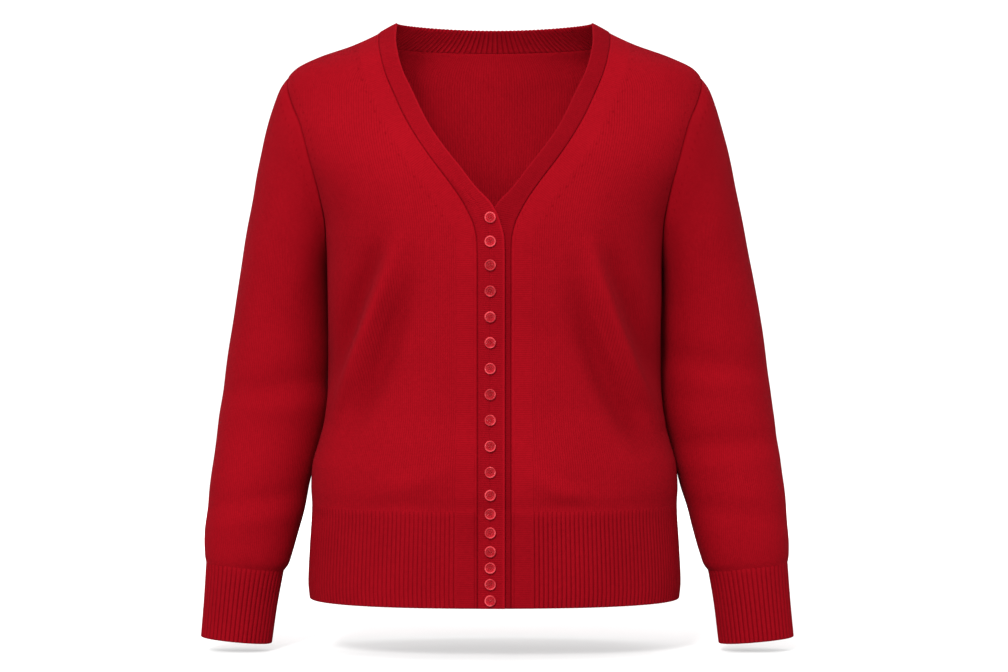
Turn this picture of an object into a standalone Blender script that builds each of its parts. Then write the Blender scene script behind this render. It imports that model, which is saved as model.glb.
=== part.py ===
"""Button cardigan in fine knit, filled out as if worn, with nobody in it.

Metres, +Z up. The front faces -Y and +X is the wearer's left. The origin lies
between the shoulders, level with the two points where the shoulders meet the
neck. Rings of the torso and of the sleeves give the form; each knitted piece is
a wall of even thickness laid on that form, 0.3 mm from its neighbours.
"""

import math

import bmesh
import bpy
from mathutils import Vector

MM = 0.001

# Walls, seams and ribs -----------------------------------------------------
KNIT_WALL = 2.0 * MM
RIB_WALL = 2.4 * MM
RIB_RELIEF = 0.8 * MM
BAND_WALL = 2.4 * MM
SEAM_GAP = 0.3 * MM
HALF_GAP = 0.5 * SEAM_GAP

# Heights on the body, down from the neck points ------------------------------
HEM_BOTTOM = -591 * MM
HEM_MIDDLE = -545 * MM
HEM_TOP = -494 * MM
ARMPIT = -250 * MM
SHOULDER_TIP = -56 * MM
SHOULDER_AT_BAND = -10 * MM
BACK_NECK_SEAM = -27 * MM
BACK_NECK_EDGE = -4 * MM
SHOULDER_TIP_HALF_WIDTH = 212 * MM
ARMPIT_HALF_WIDTH = 172 * MM

# How many rows and columns each piece is knitted in -------------------------
SIDE_ROWS = 13
ARMHOLE_ROWS = 11
FRONT_RIB_COLUMNS = 11
FRONT_STRIP_COLUMNS = 2
BACK_HALF_COLUMNS = 13
SHOULDER_COLUMNS = 6
SHOULDER_TURN = 2.2
STEPS_PER_COLUMN = 8
CUFF_STEPS_PER_COLUMN = 4
SLEEVE_SIDES = 2 * ARMHOLE_ROWS

# The torso, section by section, in millimetres. Each section is a rounded
# oval: half_width to each side, front and back are its two depths.
SQUARENESS = 2.4
TORSO_COLUMNS = ("height", "half_width", "front", "back")
TORSO = (
    (-591, 190.5, 119, 108),
    (-575, 192.0, 118, 108),
    (-540, 190.5, 117, 107),
    (-494, 188.0, 117, 105),
    (-478, 188.8, 119.5, 107),
    (-455, 187.5, 121, 106),
    (-430, 181.0, 119, 100),
    (-410, 175.5, 116, 96),
    (-392, 172.5, 113, 93),
    (-330, 171.5, 115, 96),
    (-250, 172.0, 122, 105),
    (-210, 176.0, 126, 109),
    (-176, 188.0, 125, 111),
    (-140, 205.0, 116, 111),
    (-100, 216.0, 98, 107),
    (-70, 217.0, 79, 100),
    (-56, 212.0, 71, 95),
    (-47.4, 204.5, 66, 92),
    (-35, 180.0, 59, 88),
    (-22.7, 145.0, 50, 83),
    (-10, 118.0, 38, 74),
    (0, 100.0, 26, 65),
    (12, 84.0, 18, 58),
)

# Where the armhole seam runs, seen from the front, in millimetres.
ARMHOLE_COLUMNS = ("height", "half_width")
ARMHOLE = (
    (-250, 172.0),
    (-210, 172.5),
    (-176, 178.0),
    (-140, 187.5),
    (-104, 197.5),
    (-79, 208.0),
    (-66, 211.5),
    (-56, 212.0),
)

# The seam of the front bands and their free edge, in millimetres from the
# centre, at matching stations. The free edge passes the centre at the button
# stand, where the two bands lie on each other.
BAND_COLUMNS = ("seam_height", "seam", "edge_height", "edge")
BAND = (
    (-591, 16.75, -591, -10.8),
    (-240, 16.75, -240, -10.8),
    (-222, 17.3, -221, -10.3),
    (-207, 20.2, -203, -6.0),
    (-193, 26.2, -186, 2.2),
    (-179, 34.2, -169.5, 17.6),
    (-159, 48.5, -148.5, 33.8),
    (-138, 64.5, -128, 50.0),
    (-117, 78.8, -107.5, 64.2),
    (-95.5, 91.2, -87, 75.0),
    (-75, 100.8, -67.5, 84.2),
    (-56, 109.0, -51.5, 92.0),
    (-37.5, 114.6, -33, 97.5),
    (-19, 117.8, -14, 100.3),
    (-10, 118.0, 0, 100.0),
)
CROSSING_HEIGHT = -186 * MM
CROSSING_RUN = 45 * MM
# Lines along a band: share of its width from the seam, and how much it is crowned.
BAND_LINES = ((0.0, 0.0), (0.2, 0.3 * MM), (0.6, 0.3 * MM), (1.0, 0.0))
BAND_PROUD = 0.6 * MM
BAND_CLEARANCE = 0.2 * MM
PLAIN_STRIP_EDGE = 38 * MM

# The right sleeve ring by ring, in millimetres: the outermost and innermost
# point of each ring, half its depth, and how far its middle lies behind.
SLEEVE_COLUMNS = ("outer", "outer_height", "inner", "inner_height", "half_depth", "behind")
SLEEVE = (
    (219.5, -66, 173.0, -252.0, 54, 4),
    (229.0, -90, 173.8, -255.0, 57, 8),
    (237.0, -118, 174.4, -259.5, 59, 12),
    (244.0, -149, 174.6, -265.0, 61, 16),
    (250.5, -183, 174.4, -272.5, 62, 20),
    (257.5, -219, 173.6, -284.0, 62, 24),
    (263.5, -255, 172.6, -300.0, 61, 27),
    (269.5, -293, 171.8, -323.0, 59, 28),
    (275.5, -334, 171.6, -354.0, 57, 27),
    (281.5, -378, 173.0, -391.0, 54, 24),
    (287.0, -417, 180.5, -424.0, 52, 20),
    (291.0, -448, 188.0, -455.0, 50, 15),
    (295.0, -480, 193.8, -488.0, 47, 8),
    (297.5, -510, 201.0, -519.0, 43, 2),
    (299.0, -534, 208.0, -543.5, 39, -3),
    (298.5, -547, 212.5, -556.5, 35, -6),
    (297.0, -554, 217.0, -562.5, 31, -8),
)
CUFF = (
    (297.0, -554.3, 217.0, -562.8, 31, -8),
    (299.0, -590, 223.3, -597.0, 28.5, -12),
    (302.0, -630, 229.0, -637.0, 27, -16),
)
SLEEVE_SQUARENESS = 2.15
CAP_BLEND_RINGS = 5
# How much farther out the left sleeve hangs on its two sides, in millimetres.
SWING_COLUMNS = ("height", "outer", "inner")
LEFT_SWING = (
    (-640, 6.0, 1.5),
    (-560, 5.0, 3.0),
    (-505, 4.5, 3.0),
    (-475, 4.5, 0.0),
    (-300, 5.0, 0.0),
    (-240, 3.0, 0.0),
    (-150, 1.0, 0.0),
    (-60, 0.0, 0.0),
)

# The largest folds of the cloth. Each runs along a bent line through three
# points (across, height) in millimetres; relief is how far it stands out.
FOLD_COLUMNS = ("start", "middle", "end", "spread", "relief")
FRONT_FOLDS = (
    ((-104, -236), (-134, -310), (-163, -398), 13, 4.0),
    ((-124, -236), (-150, -300), (-166, -360), 13, -3.5),
    ((-80, -258), (-112, -335), (-160, -430), 17, -5.0),
    ((102, -240), (129, -322), (166, -404), 13, 4.0),
    ((112, -234), (143, -292), (168, -360), 13, -3.5),
    ((79, -280), (113, -355), (170, -448), 17, -5.0),
    ((-46, -455), (-78, -468), (-120, -474), 9, 2.0),
    ((38, -457), (60, -474), (96, -486), 8, 2.5),
)
BACK_FOLDS = (
    ((-96, -250), (-126, -322), (-158, -405), 16, 3.0),
    ((-70, -285), (-104, -352), (-150, -438), 18, -4.0),
    ((100, -262), (128, -330), (160, -412), 16, 3.0),
    ((74, -292), (106, -362), (152, -446), 18, -4.0),
    ((-60, -452), (-10, -466), (48, -470), 11, 2.0),
)
FOLD_STEPS = 10
# Creases across the sleeves: side (-1 is the right), height in millimetres,
# slant per degree, where round the sleeve in degrees from outermost round the
# front, how far round it reaches, its spread and its relief in millimetres.
SLEEVE_FOLD_COLUMNS = ("side", "height", "slant", "around", "reach", "spread", "relief")
SLEEVE_FOLDS = (
    (-1, -372, 0.10, 105, 45, 11, -3.0),
    (-1, -393, 0.10, 100, 45, 11, 2.0),
    (-1, -488, 0.12, 95, 50, 10, -2.5),
    (-1, -508, 0.10, 95, 50, 10, 2.0),
    (-1, -385, -0.10, 250, 45, 12, -3.0),
    (-1, -470, -0.10, 265, 45, 11, -2.5),
    (1, -350, 0.12, 95, 40, 11, -3.0),
    (1, -368, 0.12, 95, 40, 11, 2.0),
    (1, -432, -0.05, 95, 50, 10, -3.0),
    (1, -450, -0.05, 95, 50, 10, 2.0),
    (1, -500, 0.10, 100, 45, 10, -2.0),
    (1, -376, -0.10, 255, 45, 12, -3.0),
    (1, -455, -0.10, 260, 45, 11, -2.5),
)

# Buttons ----------------------------------------------------------------------
BUTTON_RADIUS = 5.9 * MM
BUTTON_THICKNESS = 2.4 * MM
BUTTON_SIDES = 12
BUTTON_ACROSS = -4.0 * MM
BUTTON_SEAT = 0.35 * MM
FIRST_BUTTON = -199.5 * MM
BUTTON_PITCH_COLUMNS = ("count", "pitch")
BUTTON_PITCHES = ((2, 23.6), (8, 25.9), (1, 23.0), (3, 18.9), (3, 16.4))
# Half section of a button from its back to its dished middle, as shares of the
# radius and of the thickness.
BUTTON_PROFILE = ((0.0, 0.0), (0.86, 0.0), (1.0, 0.4), (0.9, 0.92), (0.66, 1.0), (0.5, 0.62), (0.0, 0.52))

RED_WOOL = (0.33, 0.008, 0.017, 1.0)
RED_RIB = (0.30, 0.007, 0.016, 1.0)
RED_GLOSS = (0.45, 0.02, 0.035, 1.0)


# Reading the tables ---------------------------------------------------------
def slope_at(rows, index, column):
    """Slope of a column at a row, kept level where the column turns."""
    if index == 0:
        return (rows[1][column] - rows[0][column]) / (rows[1][0] - rows[0][0])
    if index == len(rows) - 1:
        return (rows[-1][column] - rows[-2][column]) / (rows[-1][0] - rows[-2][0])
    before = rows[index][0] - rows[index - 1][0]
    after = rows[index + 1][0] - rows[index][0]
    slope_before = (rows[index][column] - rows[index - 1][column]) / before
    slope_after = (rows[index + 1][column] - rows[index][column]) / after
    if slope_before * slope_after <= 0:
        return 0.0
    weight_before = 2 * after + before
    weight_after = after + 2 * before
    return (weight_before + weight_after) / (weight_before / slope_before + weight_after / slope_after)


def read_table(rows, height, column):
    """Smooth value of a millimetre column at a height in metres, in metres."""
    level = height / MM
    index = 0
    while index < len(rows) - 2 and level > rows[index + 1][0]:
        index += 1
    span = rows[index + 1][0] - rows[index][0]
    share = min(max((level - rows[index][0]) / span, 0.0), 1.0)
    start = rows[index][column]
    end = rows[index + 1][column]
    rise_start = slope_at(rows, index, column) * span
    rise_end = slope_at(rows, index + 1, column) * span
    square = share * share
    cube = square * share
    value = (2 * cube - 3 * square + 1) * start + (cube - 2 * square + share) * rise_start
    value += (3 * square - 2 * cube) * end + (cube - square) * rise_end
    return value * MM


# The form of the torso --------------------------------------------------------
def torso_point(side, angle, height, behind):
    """Point of the torso: angle 0 is the side of the body, a right angle its middle."""
    half_width = read_table(TORSO, height, 1)
    depth = read_table(TORSO, height, 3 if behind else 2)
    across = math.cos(angle)
    along = math.sin(angle)
    reach = (abs(across) ** SQUARENESS + abs(along) ** SQUARENESS) ** (1 / SQUARENESS)
    facing = 1 if behind else -1
    return Vector((side * half_width * across / reach, facing * depth * along / reach, height))


def torso_normal(side, angle, height, behind):
    """Direction out of the torso at a point."""
    turn = 0.02
    climb = 1.5 * MM
    around = torso_point(side, angle + turn, height, behind) - torso_point(side, angle - turn, height, behind)
    up = torso_point(side, angle, height + climb, behind) - torso_point(side, angle, height - climb, behind)
    normal = around.cross(up).normalized()
    outward = torso_point(side, angle, height, behind)
    outward.z = 0
    if normal.dot(outward) < 0:
        normal.negate()
    return normal


def torso_angle(across, height):
    """Angle at which the torso is this far from the centre line."""
    share = min(abs(across) / read_table(TORSO, height, 1), 1.0)
    along = max(1 - share ** SQUARENESS, 0.0) ** (1 / SQUARENESS)
    return math.atan2(along, share)


def torso_angle_across(side, across, height):
    """The same, past the centre line too, where across is negative."""
    angle = torso_angle(across, height)
    return angle if across >= 0 else math.pi - angle


def fold_lines(folds):
    """Each fold as points along its bent line, with the share of its length."""
    lines = []
    for start, middle, end, spread, relief in folds:
        points = []
        for step in range(FOLD_STEPS + 1):
            share = step / FOLD_STEPS
            bend = [2 * m - 0.5 * (s + e) for s, m, e in zip(start, middle, end)]
            across = (1 - share) ** 2 * start[0] + 2 * share * (1 - share) * bend[0] + share ** 2 * end[0]
            height = (1 - share) ** 2 * start[1] + 2 * share * (1 - share) * bend[1] + share ** 2 * end[1]
            points.append((across * MM, height * MM, share))
        lines.append((points, spread * MM, relief * MM))
    return lines


FRONT_FOLD_LINES = fold_lines(FRONT_FOLDS)
BACK_FOLD_LINES = fold_lines(BACK_FOLDS)


def fold_relief(across, height, behind):
    """How far the folds lift or sink the cloth at a point."""
    total = 0.0
    for points, spread, relief in BACK_FOLD_LINES if behind else FRONT_FOLD_LINES:
        nearest = min(points, key=lambda p: (p[0] - across) ** 2 + (p[1] - height) ** 2)
        apart = (nearest[0] - across) ** 2 + (nearest[1] - height) ** 2
        fade = math.sin(math.pi * (0.12 + 0.76 * nearest[2]))
        total += relief * fade * math.exp(-apart / (2 * spread ** 2))
    return total


# Knitted walls ------------------------------------------------------------------
def make_material(name, colour, roughness):
    material = bpy.data.materials.new(name)
    material.use_nodes = True
    shader = material.node_tree.nodes["Principled BSDF"]
    shader.inputs["Base Color"].default_value = colour
    shader.inputs["Roughness"].default_value = roughness
    shader.inputs["Metallic"].default_value = 0.0
    return material


def add_object(name, bm, material):
    mesh = bpy.data.meshes.new(name)
    bm.to_mesh(mesh)
    bm.free()
    mesh.materials.append(material)
    mesh.shade_smooth()
    mesh.set_sharp_from_angle(angle=math.radians(40))
    piece = bpy.data.objects.new(name, mesh)
    bpy.context.collection.objects.link(piece)
    return piece


def raise_ribs(bm, column_layer, normal_layer, first, last, steps):
    """Split the outside between two columns and sink every second line of it."""
    outer_edges = []
    for edge in bm.edges:
        if any(v[normal_layer].length < 0.5 for v in edge.verts):
            continue
        columns = sorted(v[column_layer] for v in edge.verts)
        spans_one = 0.5 < columns[1] - columns[0] < 1.5
        if spans_one and columns[0] > first - 0.5 and columns[1] < last + 0.5:
            outer_edges.append(edge)
    bmesh.ops.subdivide_edges(bm, edges=outer_edges, cuts=steps - 1, use_grid_fill=False)
    for vertex in bm.verts:
        if vertex[normal_layer].length < 0.5:
            continue
        step = round(vertex[column_layer] * steps)
        if first * steps < step < last * steps and step % 2:
            vertex.co -= vertex[normal_layer].normalized() * RIB_RELIEF


def knit_wall(name, outer, inner, material, closed=False, ribs=None):
    """A closed wall between two grids of points, outer[column][row] and inner."""
    columns = len(outer) - 1
    rows = len(outer[0]) - 1
    bm = bmesh.new()
    bmesh.ops.create_grid(bm, x_segments=columns, y_segments=rows, size=0.5)
    column_layer = bm.verts.layers.float.new("column")
    row_layer = bm.verts.layers.float.new("row")
    normal_layer = bm.verts.layers.float_vector.new("outward")
    for vertex in bm.verts:
        vertex[column_layer] = round((vertex.co.x + 0.5) * columns)
        vertex[row_layer] = round((vertex.co.y + 0.5) * rows)
    shell = bmesh.ops.extrude_face_region(bm, geom=bm.verts[:] + bm.edges[:] + bm.faces[:], use_keep_orig=True)
    inside = {element for element in shell["geom"] if isinstance(element, bmesh.types.BMVert)}
    for vertex in bm.verts:
        column = int(vertex[column_layer])
        row = int(vertex[row_layer])
        if vertex in inside:
            vertex.co = inner[column][row]
        else:
            vertex.co = outer[column][row]
            vertex[normal_layer] = (outer[column][row] - inner[column][row]).normalized()
    if ribs:
        raise_ribs(bm, column_layer, normal_layer, *ribs)
    if closed:
        walls = [face for face in bm.faces if is_end_wall(face, column_layer, normal_layer)]
        bmesh.ops.delete(bm, geom=walls, context="FACES_ONLY")
        bmesh.ops.remove_doubles(bm, verts=bm.verts[:], dist=0.001 * MM)
    bmesh.ops.recalc_face_normals(bm, faces=bm.faces[:])
    return add_object(name, bm, material)


def is_end_wall(face, column_layer, normal_layer):
    """Whether a face is one of the two strips where a tube's sheet meets itself."""
    columns = [v[column_layer] for v in face.verts]
    outside = [v[normal_layer].length > 0.5 for v in face.verts]
    return max(columns) - min(columns) < 0.01 and any(outside) and not all(outside)


def side_sign(side_name):
    """The wearer's right is on -X."""
    return -1 if side_name == "right" else 1


# Where the columns and rows of the body run ---------------------------------------
def even_angles(first_angle, last_angle, columns, behind):
    """Angles at even spacing round the ring where the rib meets the body."""
    samples = 400
    angles = [first_angle + (last_angle - first_angle) * k / samples for k in range(samples + 1)]
    points = [torso_point(1, angle, HEM_TOP, behind) for angle in angles]
    lengths = [0.0]
    for before, after in zip(points, points[1:]):
        lengths.append(lengths[-1] + (after - before).length)
    picked = []
    for column in range(columns + 1):
        target = lengths[-1] * column / columns
        index = min(range(samples + 1), key=lambda k: abs(lengths[k] - target))
        picked.append(angles[index])
    return picked


def seam_across(height):
    return read_table(BAND, height, 1) + HALF_GAP


def front_columns():
    """Angles of the front's columns, from the side seam to the band's seam."""
    strip_angle = torso_angle(PLAIN_STRIP_EDGE, HEM_TOP)
    seam_angle = torso_angle(seam_across(HEM_TOP), HEM_TOP)
    ribbed = even_angles(0.0, strip_angle, FRONT_RIB_COLUMNS, False)
    plain = even_angles(strip_angle, seam_angle, FRONT_STRIP_COLUMNS, False)
    return ribbed + plain[1:]


FRONT_COLUMNS = front_columns()
BACK_COLUMNS = even_angles(0.0, 0.5 * math.pi, BACK_HALF_COLUMNS, True)


def side_heights():
    """Row heights below the armpit."""
    bottom = HEM_TOP + HALF_GAP
    return [bottom + (ARMPIT - bottom) * row / SIDE_ROWS for row in range(SIDE_ROWS + 1)]


def armhole_height(row):
    """Row heights up the armhole, closer together at its two ends."""
    share = 0.5 * (1 - math.cos(math.pi * row / ARMHOLE_ROWS))
    return ARMPIT + (SHOULDER_TIP - ARMPIT) * share


def seam_height(row):
    """Row heights up the band's seam, closer together towards the shoulder."""
    top = SHOULDER_AT_BAND
    return ARMPIT + (top - ARMPIT) * math.sin(0.5 * math.pi * row / ARMHOLE_ROWS)


def armhole_angle(height):
    return torso_angle(read_table(ARMHOLE, height, 1), height)


# Laying a piece on the torso ---------------------------------------------------------
def lay(side, angle, height, behind, offset, wall):
    """Outer and inner point of a wall; offset lifts it off the torso."""
    point = torso_point(side, angle, height, behind)
    normal = torso_normal(side, angle, height, behind)
    at_seam = abs(math.cos(angle)) > 0.9999
    if at_seam:
        normal = Vector((normal.x, 0.0, normal.z)).normalized()
        point.y += HALF_GAP if behind else -HALF_GAP
    return point + normal * offset, point + normal * (offset - wall)


def lay_body(side, angle, height, behind):
    relief = fold_relief(side * abs(torso_point(side, angle, height, behind).x), height, behind)
    if abs(math.cos(angle)) > 0.9999:
        relief = 0.0
    return lay(side, angle, height, behind, relief * edge_fade(height), KNIT_WALL)


def edge_fade(height):
    """Folds die out at the rib."""
    return min(max((height - HEM_TOP) / (20 * MM), 0.0), 1.0)


def split(pairs_by_column):
    outer = [[pair[0] for pair in column] for column in pairs_by_column]
    inner = [[pair[1] for pair in column] for column in pairs_by_column]
    return outer, inner


def front_point(side, column, row):
    angle = FRONT_COLUMNS[column]
    share = angle / FRONT_COLUMNS[-1]
    if row <= SIDE_ROWS:
        height = side_heights()[row]
        return lay_body(side, share * torso_angle(seam_across(height), height), height, False)
    climb = row - SIDE_ROWS
    at_armhole = armhole_height(climb)
    at_seam = seam_height(climb)
    top_row = climb == ARMHOLE_ROWS
    if top_row:
        at_seam -= HALF_GAP
    armhole = 0.0 if top_row else armhole_angle(at_armhole)
    seam = 0.0 if top_row else torso_angle(seam_across(at_seam), at_seam)
    height = (1 - share) * at_armhole + share * at_seam
    return lay_body(side, (1 - share) * armhole + share * seam, height, False)


def make_front(side_name):
    side = side_sign(side_name)
    rows = SIDE_ROWS + ARMHOLE_ROWS
    pairs = [[front_point(side, column, row) for row in range(rows + 1)] for column in range(len(FRONT_COLUMNS))]
    name = "front_" + side_name
    return knit_wall(name, *split(pairs), make_material(name, RED_WOOL, 0.85))


def back_top(column):
    """Angle and height where a column of the back ends: shoulder, then neck."""
    if column <= SHOULDER_COLUMNS:
        share = column / SHOULDER_COLUMNS
        return 0.0, SHOULDER_TIP + (SHOULDER_AT_BAND - SHOULDER_TIP) * share
    share = (column - SHOULDER_COLUMNS) / (BACK_HALF_COLUMNS - SHOULDER_COLUMNS)
    angle = 0.5 * math.pi * share
    return angle, SHOULDER_AT_BAND + (BACK_NECK_SEAM - SHOULDER_AT_BAND) * math.sin(angle) - HALF_GAP


def back_point(column, row):
    side = -1 if column <= BACK_HALF_COLUMNS else 1
    half_column = min(column, 2 * BACK_HALF_COLUMNS - column)
    angle = BACK_COLUMNS[half_column]
    if row <= SIDE_ROWS:
        return lay_body(side, angle, side_heights()[row], True)
    climb = row - SIDE_ROWS
    rise = climb / ARMHOLE_ROWS
    turn_in = rise ** SHOULDER_TURN
    share = angle / BACK_COLUMNS[-1]
    top_angle, top_height = back_top(half_column)
    armhole = 0.0 if climb == ARMHOLE_ROWS else armhole_angle(armhole_height(climb))
    spread = (1 - turn_in) * share + turn_in * top_angle / BACK_COLUMNS[-1]
    middle_height = ARMPIT + (BACK_NECK_SEAM - HALF_GAP - ARMPIT) * rise
    corner_height = (1 - share) * SHOULDER_TIP + share * (BACK_NECK_SEAM - HALF_GAP)
    height = turn_in * (top_height - corner_height)
    height += (1 - share) * armhole_height(climb) + share * middle_height
    return lay_body(side, armhole + (BACK_COLUMNS[-1] - armhole) * spread, height, True)


def make_back():
    columns = 2 * BACK_HALF_COLUMNS
    rows = SIDE_ROWS + ARMHOLE_ROWS
    pairs = [[back_point(column, row) for row in range(rows + 1)] for column in range(columns + 1)]
    return knit_wall("back", *split(pairs), make_material("back", RED_WOOL, 0.85))


# Ribs: hem, cuffs and back neck ------------------------------------------------------
HEM_HEIGHTS = (HEM_BOTTOM, HEM_MIDDLE, HEM_TOP - HALF_GAP)


def make_hem_front(side_name):
    side = side_sign(side_name)
    pairs = []
    for angle in FRONT_COLUMNS:
        share = angle / FRONT_COLUMNS[-1]
        column = []
        for height in HEM_HEIGHTS:
            seam = torso_angle(seam_across(height), height)
            column.append(lay(side, share * seam, height, False, 0.0, RIB_WALL))
        pairs.append(column)
    name = "hem_front_" + side_name
    ribs = (0, FRONT_RIB_COLUMNS, STEPS_PER_COLUMN)
    return knit_wall(name, *split(pairs), make_material(name, RED_RIB, 0.88), ribs=ribs)


def make_hem_back():
    columns = 2 * BACK_HALF_COLUMNS
    pairs = []
    for column in range(columns + 1):
        side = -1 if column <= BACK_HALF_COLUMNS else 1
        angle = BACK_COLUMNS[min(column, columns - column)]
        pairs.append([lay(side, angle, height, True, 0.0, RIB_WALL) for height in HEM_HEIGHTS])
    ribs = (0, columns, STEPS_PER_COLUMN)
    return knit_wall("hem_back", *split(pairs), make_material("hem_back", RED_RIB, 0.88), ribs=ribs)


def make_neck_band_back():
    half = BACK_HALF_COLUMNS - SHOULDER_COLUMNS
    pairs = []
    for column in range(2 * half + 1):
        side = -1 if column <= half else 1
        angle = 0.5 * math.pi * min(column, 2 * half - column) / half
        seam = SHOULDER_AT_BAND + (BACK_NECK_SEAM - SHOULDER_AT_BAND) * math.sin(angle) + HALF_GAP
        edge = BACK_NECK_EDGE * math.sin(angle) ** 3
        heights = (seam, 0.5 * (seam + edge), edge)
        pairs.append([lay(side, angle, height, True, BAND_PROUD, RIB_WALL) for height in heights])
    name = "neck_band_back"
    ribs = (0, 2 * half, STEPS_PER_COLUMN)
    return knit_wall(name, *split(pairs), make_material(name, RED_RIB, 0.88), ribs=ribs)


# The two front bands ---------------------------------------------------------------------
def overlap_share(height):
    """One where the bands lie on each other, nought on the open neckline."""
    share = min(max((height - CROSSING_HEIGHT - 3 * MM) / CROSSING_RUN, 0.0), 1.0)
    return 1 - share * share * (3 - 2 * share)


def band_offset(across_share, crown, height, on_top):
    """How far the band's outer face stands off the torso."""
    flush = BAND_PROUD + crown
    if across_share == 0:
        return flush
    lapped = BAND_WALL + BAND_CLEARANCE + crown if on_top else -0.5 * BAND_CLEARANCE
    lap = overlap_share(height)
    return lap * lapped + (1 - lap) * flush


def band_point(side, on_top, seam_level, across_share, crown):
    top = seam_level >= SHOULDER_AT_BAND - HALF_GAP
    seam = read_table(BAND, seam_level, 1) - HALF_GAP
    edge_level = read_table(BAND, seam_level, 2)
    edge = read_table(BAND, seam_level, 3)
    across = seam + (edge - seam) * across_share
    height = seam_level + (edge_level - seam_level) * across_share
    if top:
        height += HALF_GAP * (1 - across_share)
    angle = 0.0 if top else torso_angle_across(side, across, height)
    return lay(side, angle, height, False, band_offset(across_share, crown, height, on_top), BAND_WALL)


def band_heights():
    upper = [seam_height(row) for row in range(1, ARMHOLE_ROWS + 1)]
    return [HEM_BOTTOM, HEM_MIDDLE] + side_heights() + upper


def make_band(side_name, on_top):
    side = side_sign(side_name)
    pairs = []
    for across_share, crown in BAND_LINES:
        column = [band_point(side, on_top, height, across_share, crown) for height in band_heights()]
        pairs.append(column)
    name = "band_" + side_name
    return knit_wall(name, *split(pairs), make_material(name, RED_RIB, 0.85))


# Sleeves and cuffs --------------------------------------------------------------------------
def armhole_point(side, column):
    """The armhole's seam at a column of the sleeve, from the shoulder round the front."""
    angle = 2 * math.pi * column / SLEEVE_SIDES
    middle = 0.5 * (SHOULDER_TIP + ARMPIT)
    height = middle + 0.5 * (SHOULDER_TIP - ARMPIT) * math.cos(angle)
    at_end = column % (SLEEVE_SIDES // 2) == 0
    torso = 0.0 if at_end else armhole_angle(height)
    return torso_point(side, torso, height, column > SLEEVE_SIDES // 2)


def sleeve_swing(side, height, column):
    """How much farther out the left sleeve hangs than the right one."""
    return read_table(LEFT_SWING, height, column) if side > 0 else 0.0


def ring_point(side, ring, column):
    """Point of a sleeve ring, from its outermost point round the front."""
    outer_x, outer_z, inner_x, inner_z, half_depth, behind = [value * MM for value in ring]
    outer = Vector((side * (outer_x + sleeve_swing(side, outer_z, 1)), 0.0, outer_z))
    inner = Vector((side * (inner_x + sleeve_swing(side, inner_z, 2)), 0.0, inner_z))
    angle = 2 * math.pi * column / SLEEVE_SIDES
    across = math.cos(angle)
    along = math.sin(angle)
    reach = (abs(across) ** SLEEVE_SQUARENESS + abs(along) ** SLEEVE_SQUARENESS) ** (1 / SLEEVE_SQUARENESS)
    middle = 0.5 * (outer + inner) + Vector((0.0, behind, 0.0))
    return middle + 0.5 * (outer - inner) * across / reach + Vector((0.0, -half_depth * along / reach, 0.0))


def sleeve_rings(side):
    """Rings of the sleeve from the armhole to the cuff, each a list of points."""
    tip = Vector((side * SHOULDER_TIP_HALF_WIDTH, 0.0, SHOULDER_TIP))
    armpit = Vector((side * ARMPIT_HALF_WIDTH, 0.0, ARMPIT))
    across = tip - armpit
    outward = Vector((side * across.z, 0.0, -side * across.x)).normalized()
    first = (tip.x * side / MM, tip.z / MM, armpit.x * side / MM, armpit.z / MM, SLEEVE[0][4], SLEEVE[0][5])
    cap = [armhole_point(side, k) + outward * SEAM_GAP for k in range(SLEEVE_SIDES + 1)]
    stray = [point - ring_point(side, first, k) for k, point in enumerate(cap)]
    rings = [cap]
    for index, ring in enumerate(SLEEVE):
        left = max(1 - (index + 1) / CAP_BLEND_RINGS, 0.0) ** 2
        points = [ring_point(side, ring, k) + stray[k] * left for k in range(SLEEVE_SIDES + 1)]
        rings.append([point + sleeve_fold(side, ring, point, k) for k, point in enumerate(points)])
    return rings, outward


def sleeve_fold(side, ring, point, column):
    """Creases across the sleeve; each is a row of SLEEVE_FOLDS."""
    middle = Vector((side * 0.5 * (ring[0] + ring[2]), ring[5], 0.5 * (ring[1] + ring[3]))) * MM
    out = (point - middle).normalized()
    turn = 360 * column / SLEEVE_SIDES
    total = 0.0
    for fold_side, height, slant, around, reach, spread, relief in SLEEVE_FOLDS:
        if fold_side != side:
            continue
        apart = (turn - around + 180) % 360 - 180
        level = (point.z / MM - height - slant * apart) / spread
        total += relief * math.exp(-0.5 * level ** 2 - 0.5 * (apart / reach) ** 2)
    return out * total * MM


def inner_rings(rings, wall, first_normals=None):
    """The same rings moved in by the wall's thickness."""
    sides = len(rings[0]) - 1
    inner = []
    for r, ring in enumerate(rings):
        above = rings[max(r - 1, 0)]
        below = rings[min(r + 1, len(rings) - 1)]
        middle = sum((ring[k] for k in range(sides)), Vector()) / sides
        points = []
        for k in range(sides):
            if r == 0 and first_normals:
                normal = first_normals[k]
            else:
                normal = (ring[(k + 1) % sides] - ring[k - 1]).cross(below[k] - above[k]).normalized()
                if normal.dot(ring[k] - middle) < 0:
                    normal.negate()
            points.append(ring[k] - normal * wall)
        points.append(points[0])
        inner.append(points)
    return inner


def by_column(rings):
    """From rings of points to columns of points, cuff end first."""
    return [[ring[k] for ring in reversed(rings)] for k in range(len(rings[0]))]


def make_sleeve(side_name):
    side = side_sign(side_name)
    rings, outward = sleeve_rings(side)
    cap = rings[0][:-1]
    middle = sum(cap, Vector()) / len(cap)
    first_normals = []
    for point in cap:
        spoke = point - middle
        first_normals.append((spoke - outward * spoke.dot(outward)).normalized())
    inner = inner_rings(rings, KNIT_WALL, first_normals)
    name = "sleeve_" + side_name
    return knit_wall(name, by_column(rings), by_column(inner), make_material(name, RED_WOOL, 0.85), closed=True)


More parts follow.
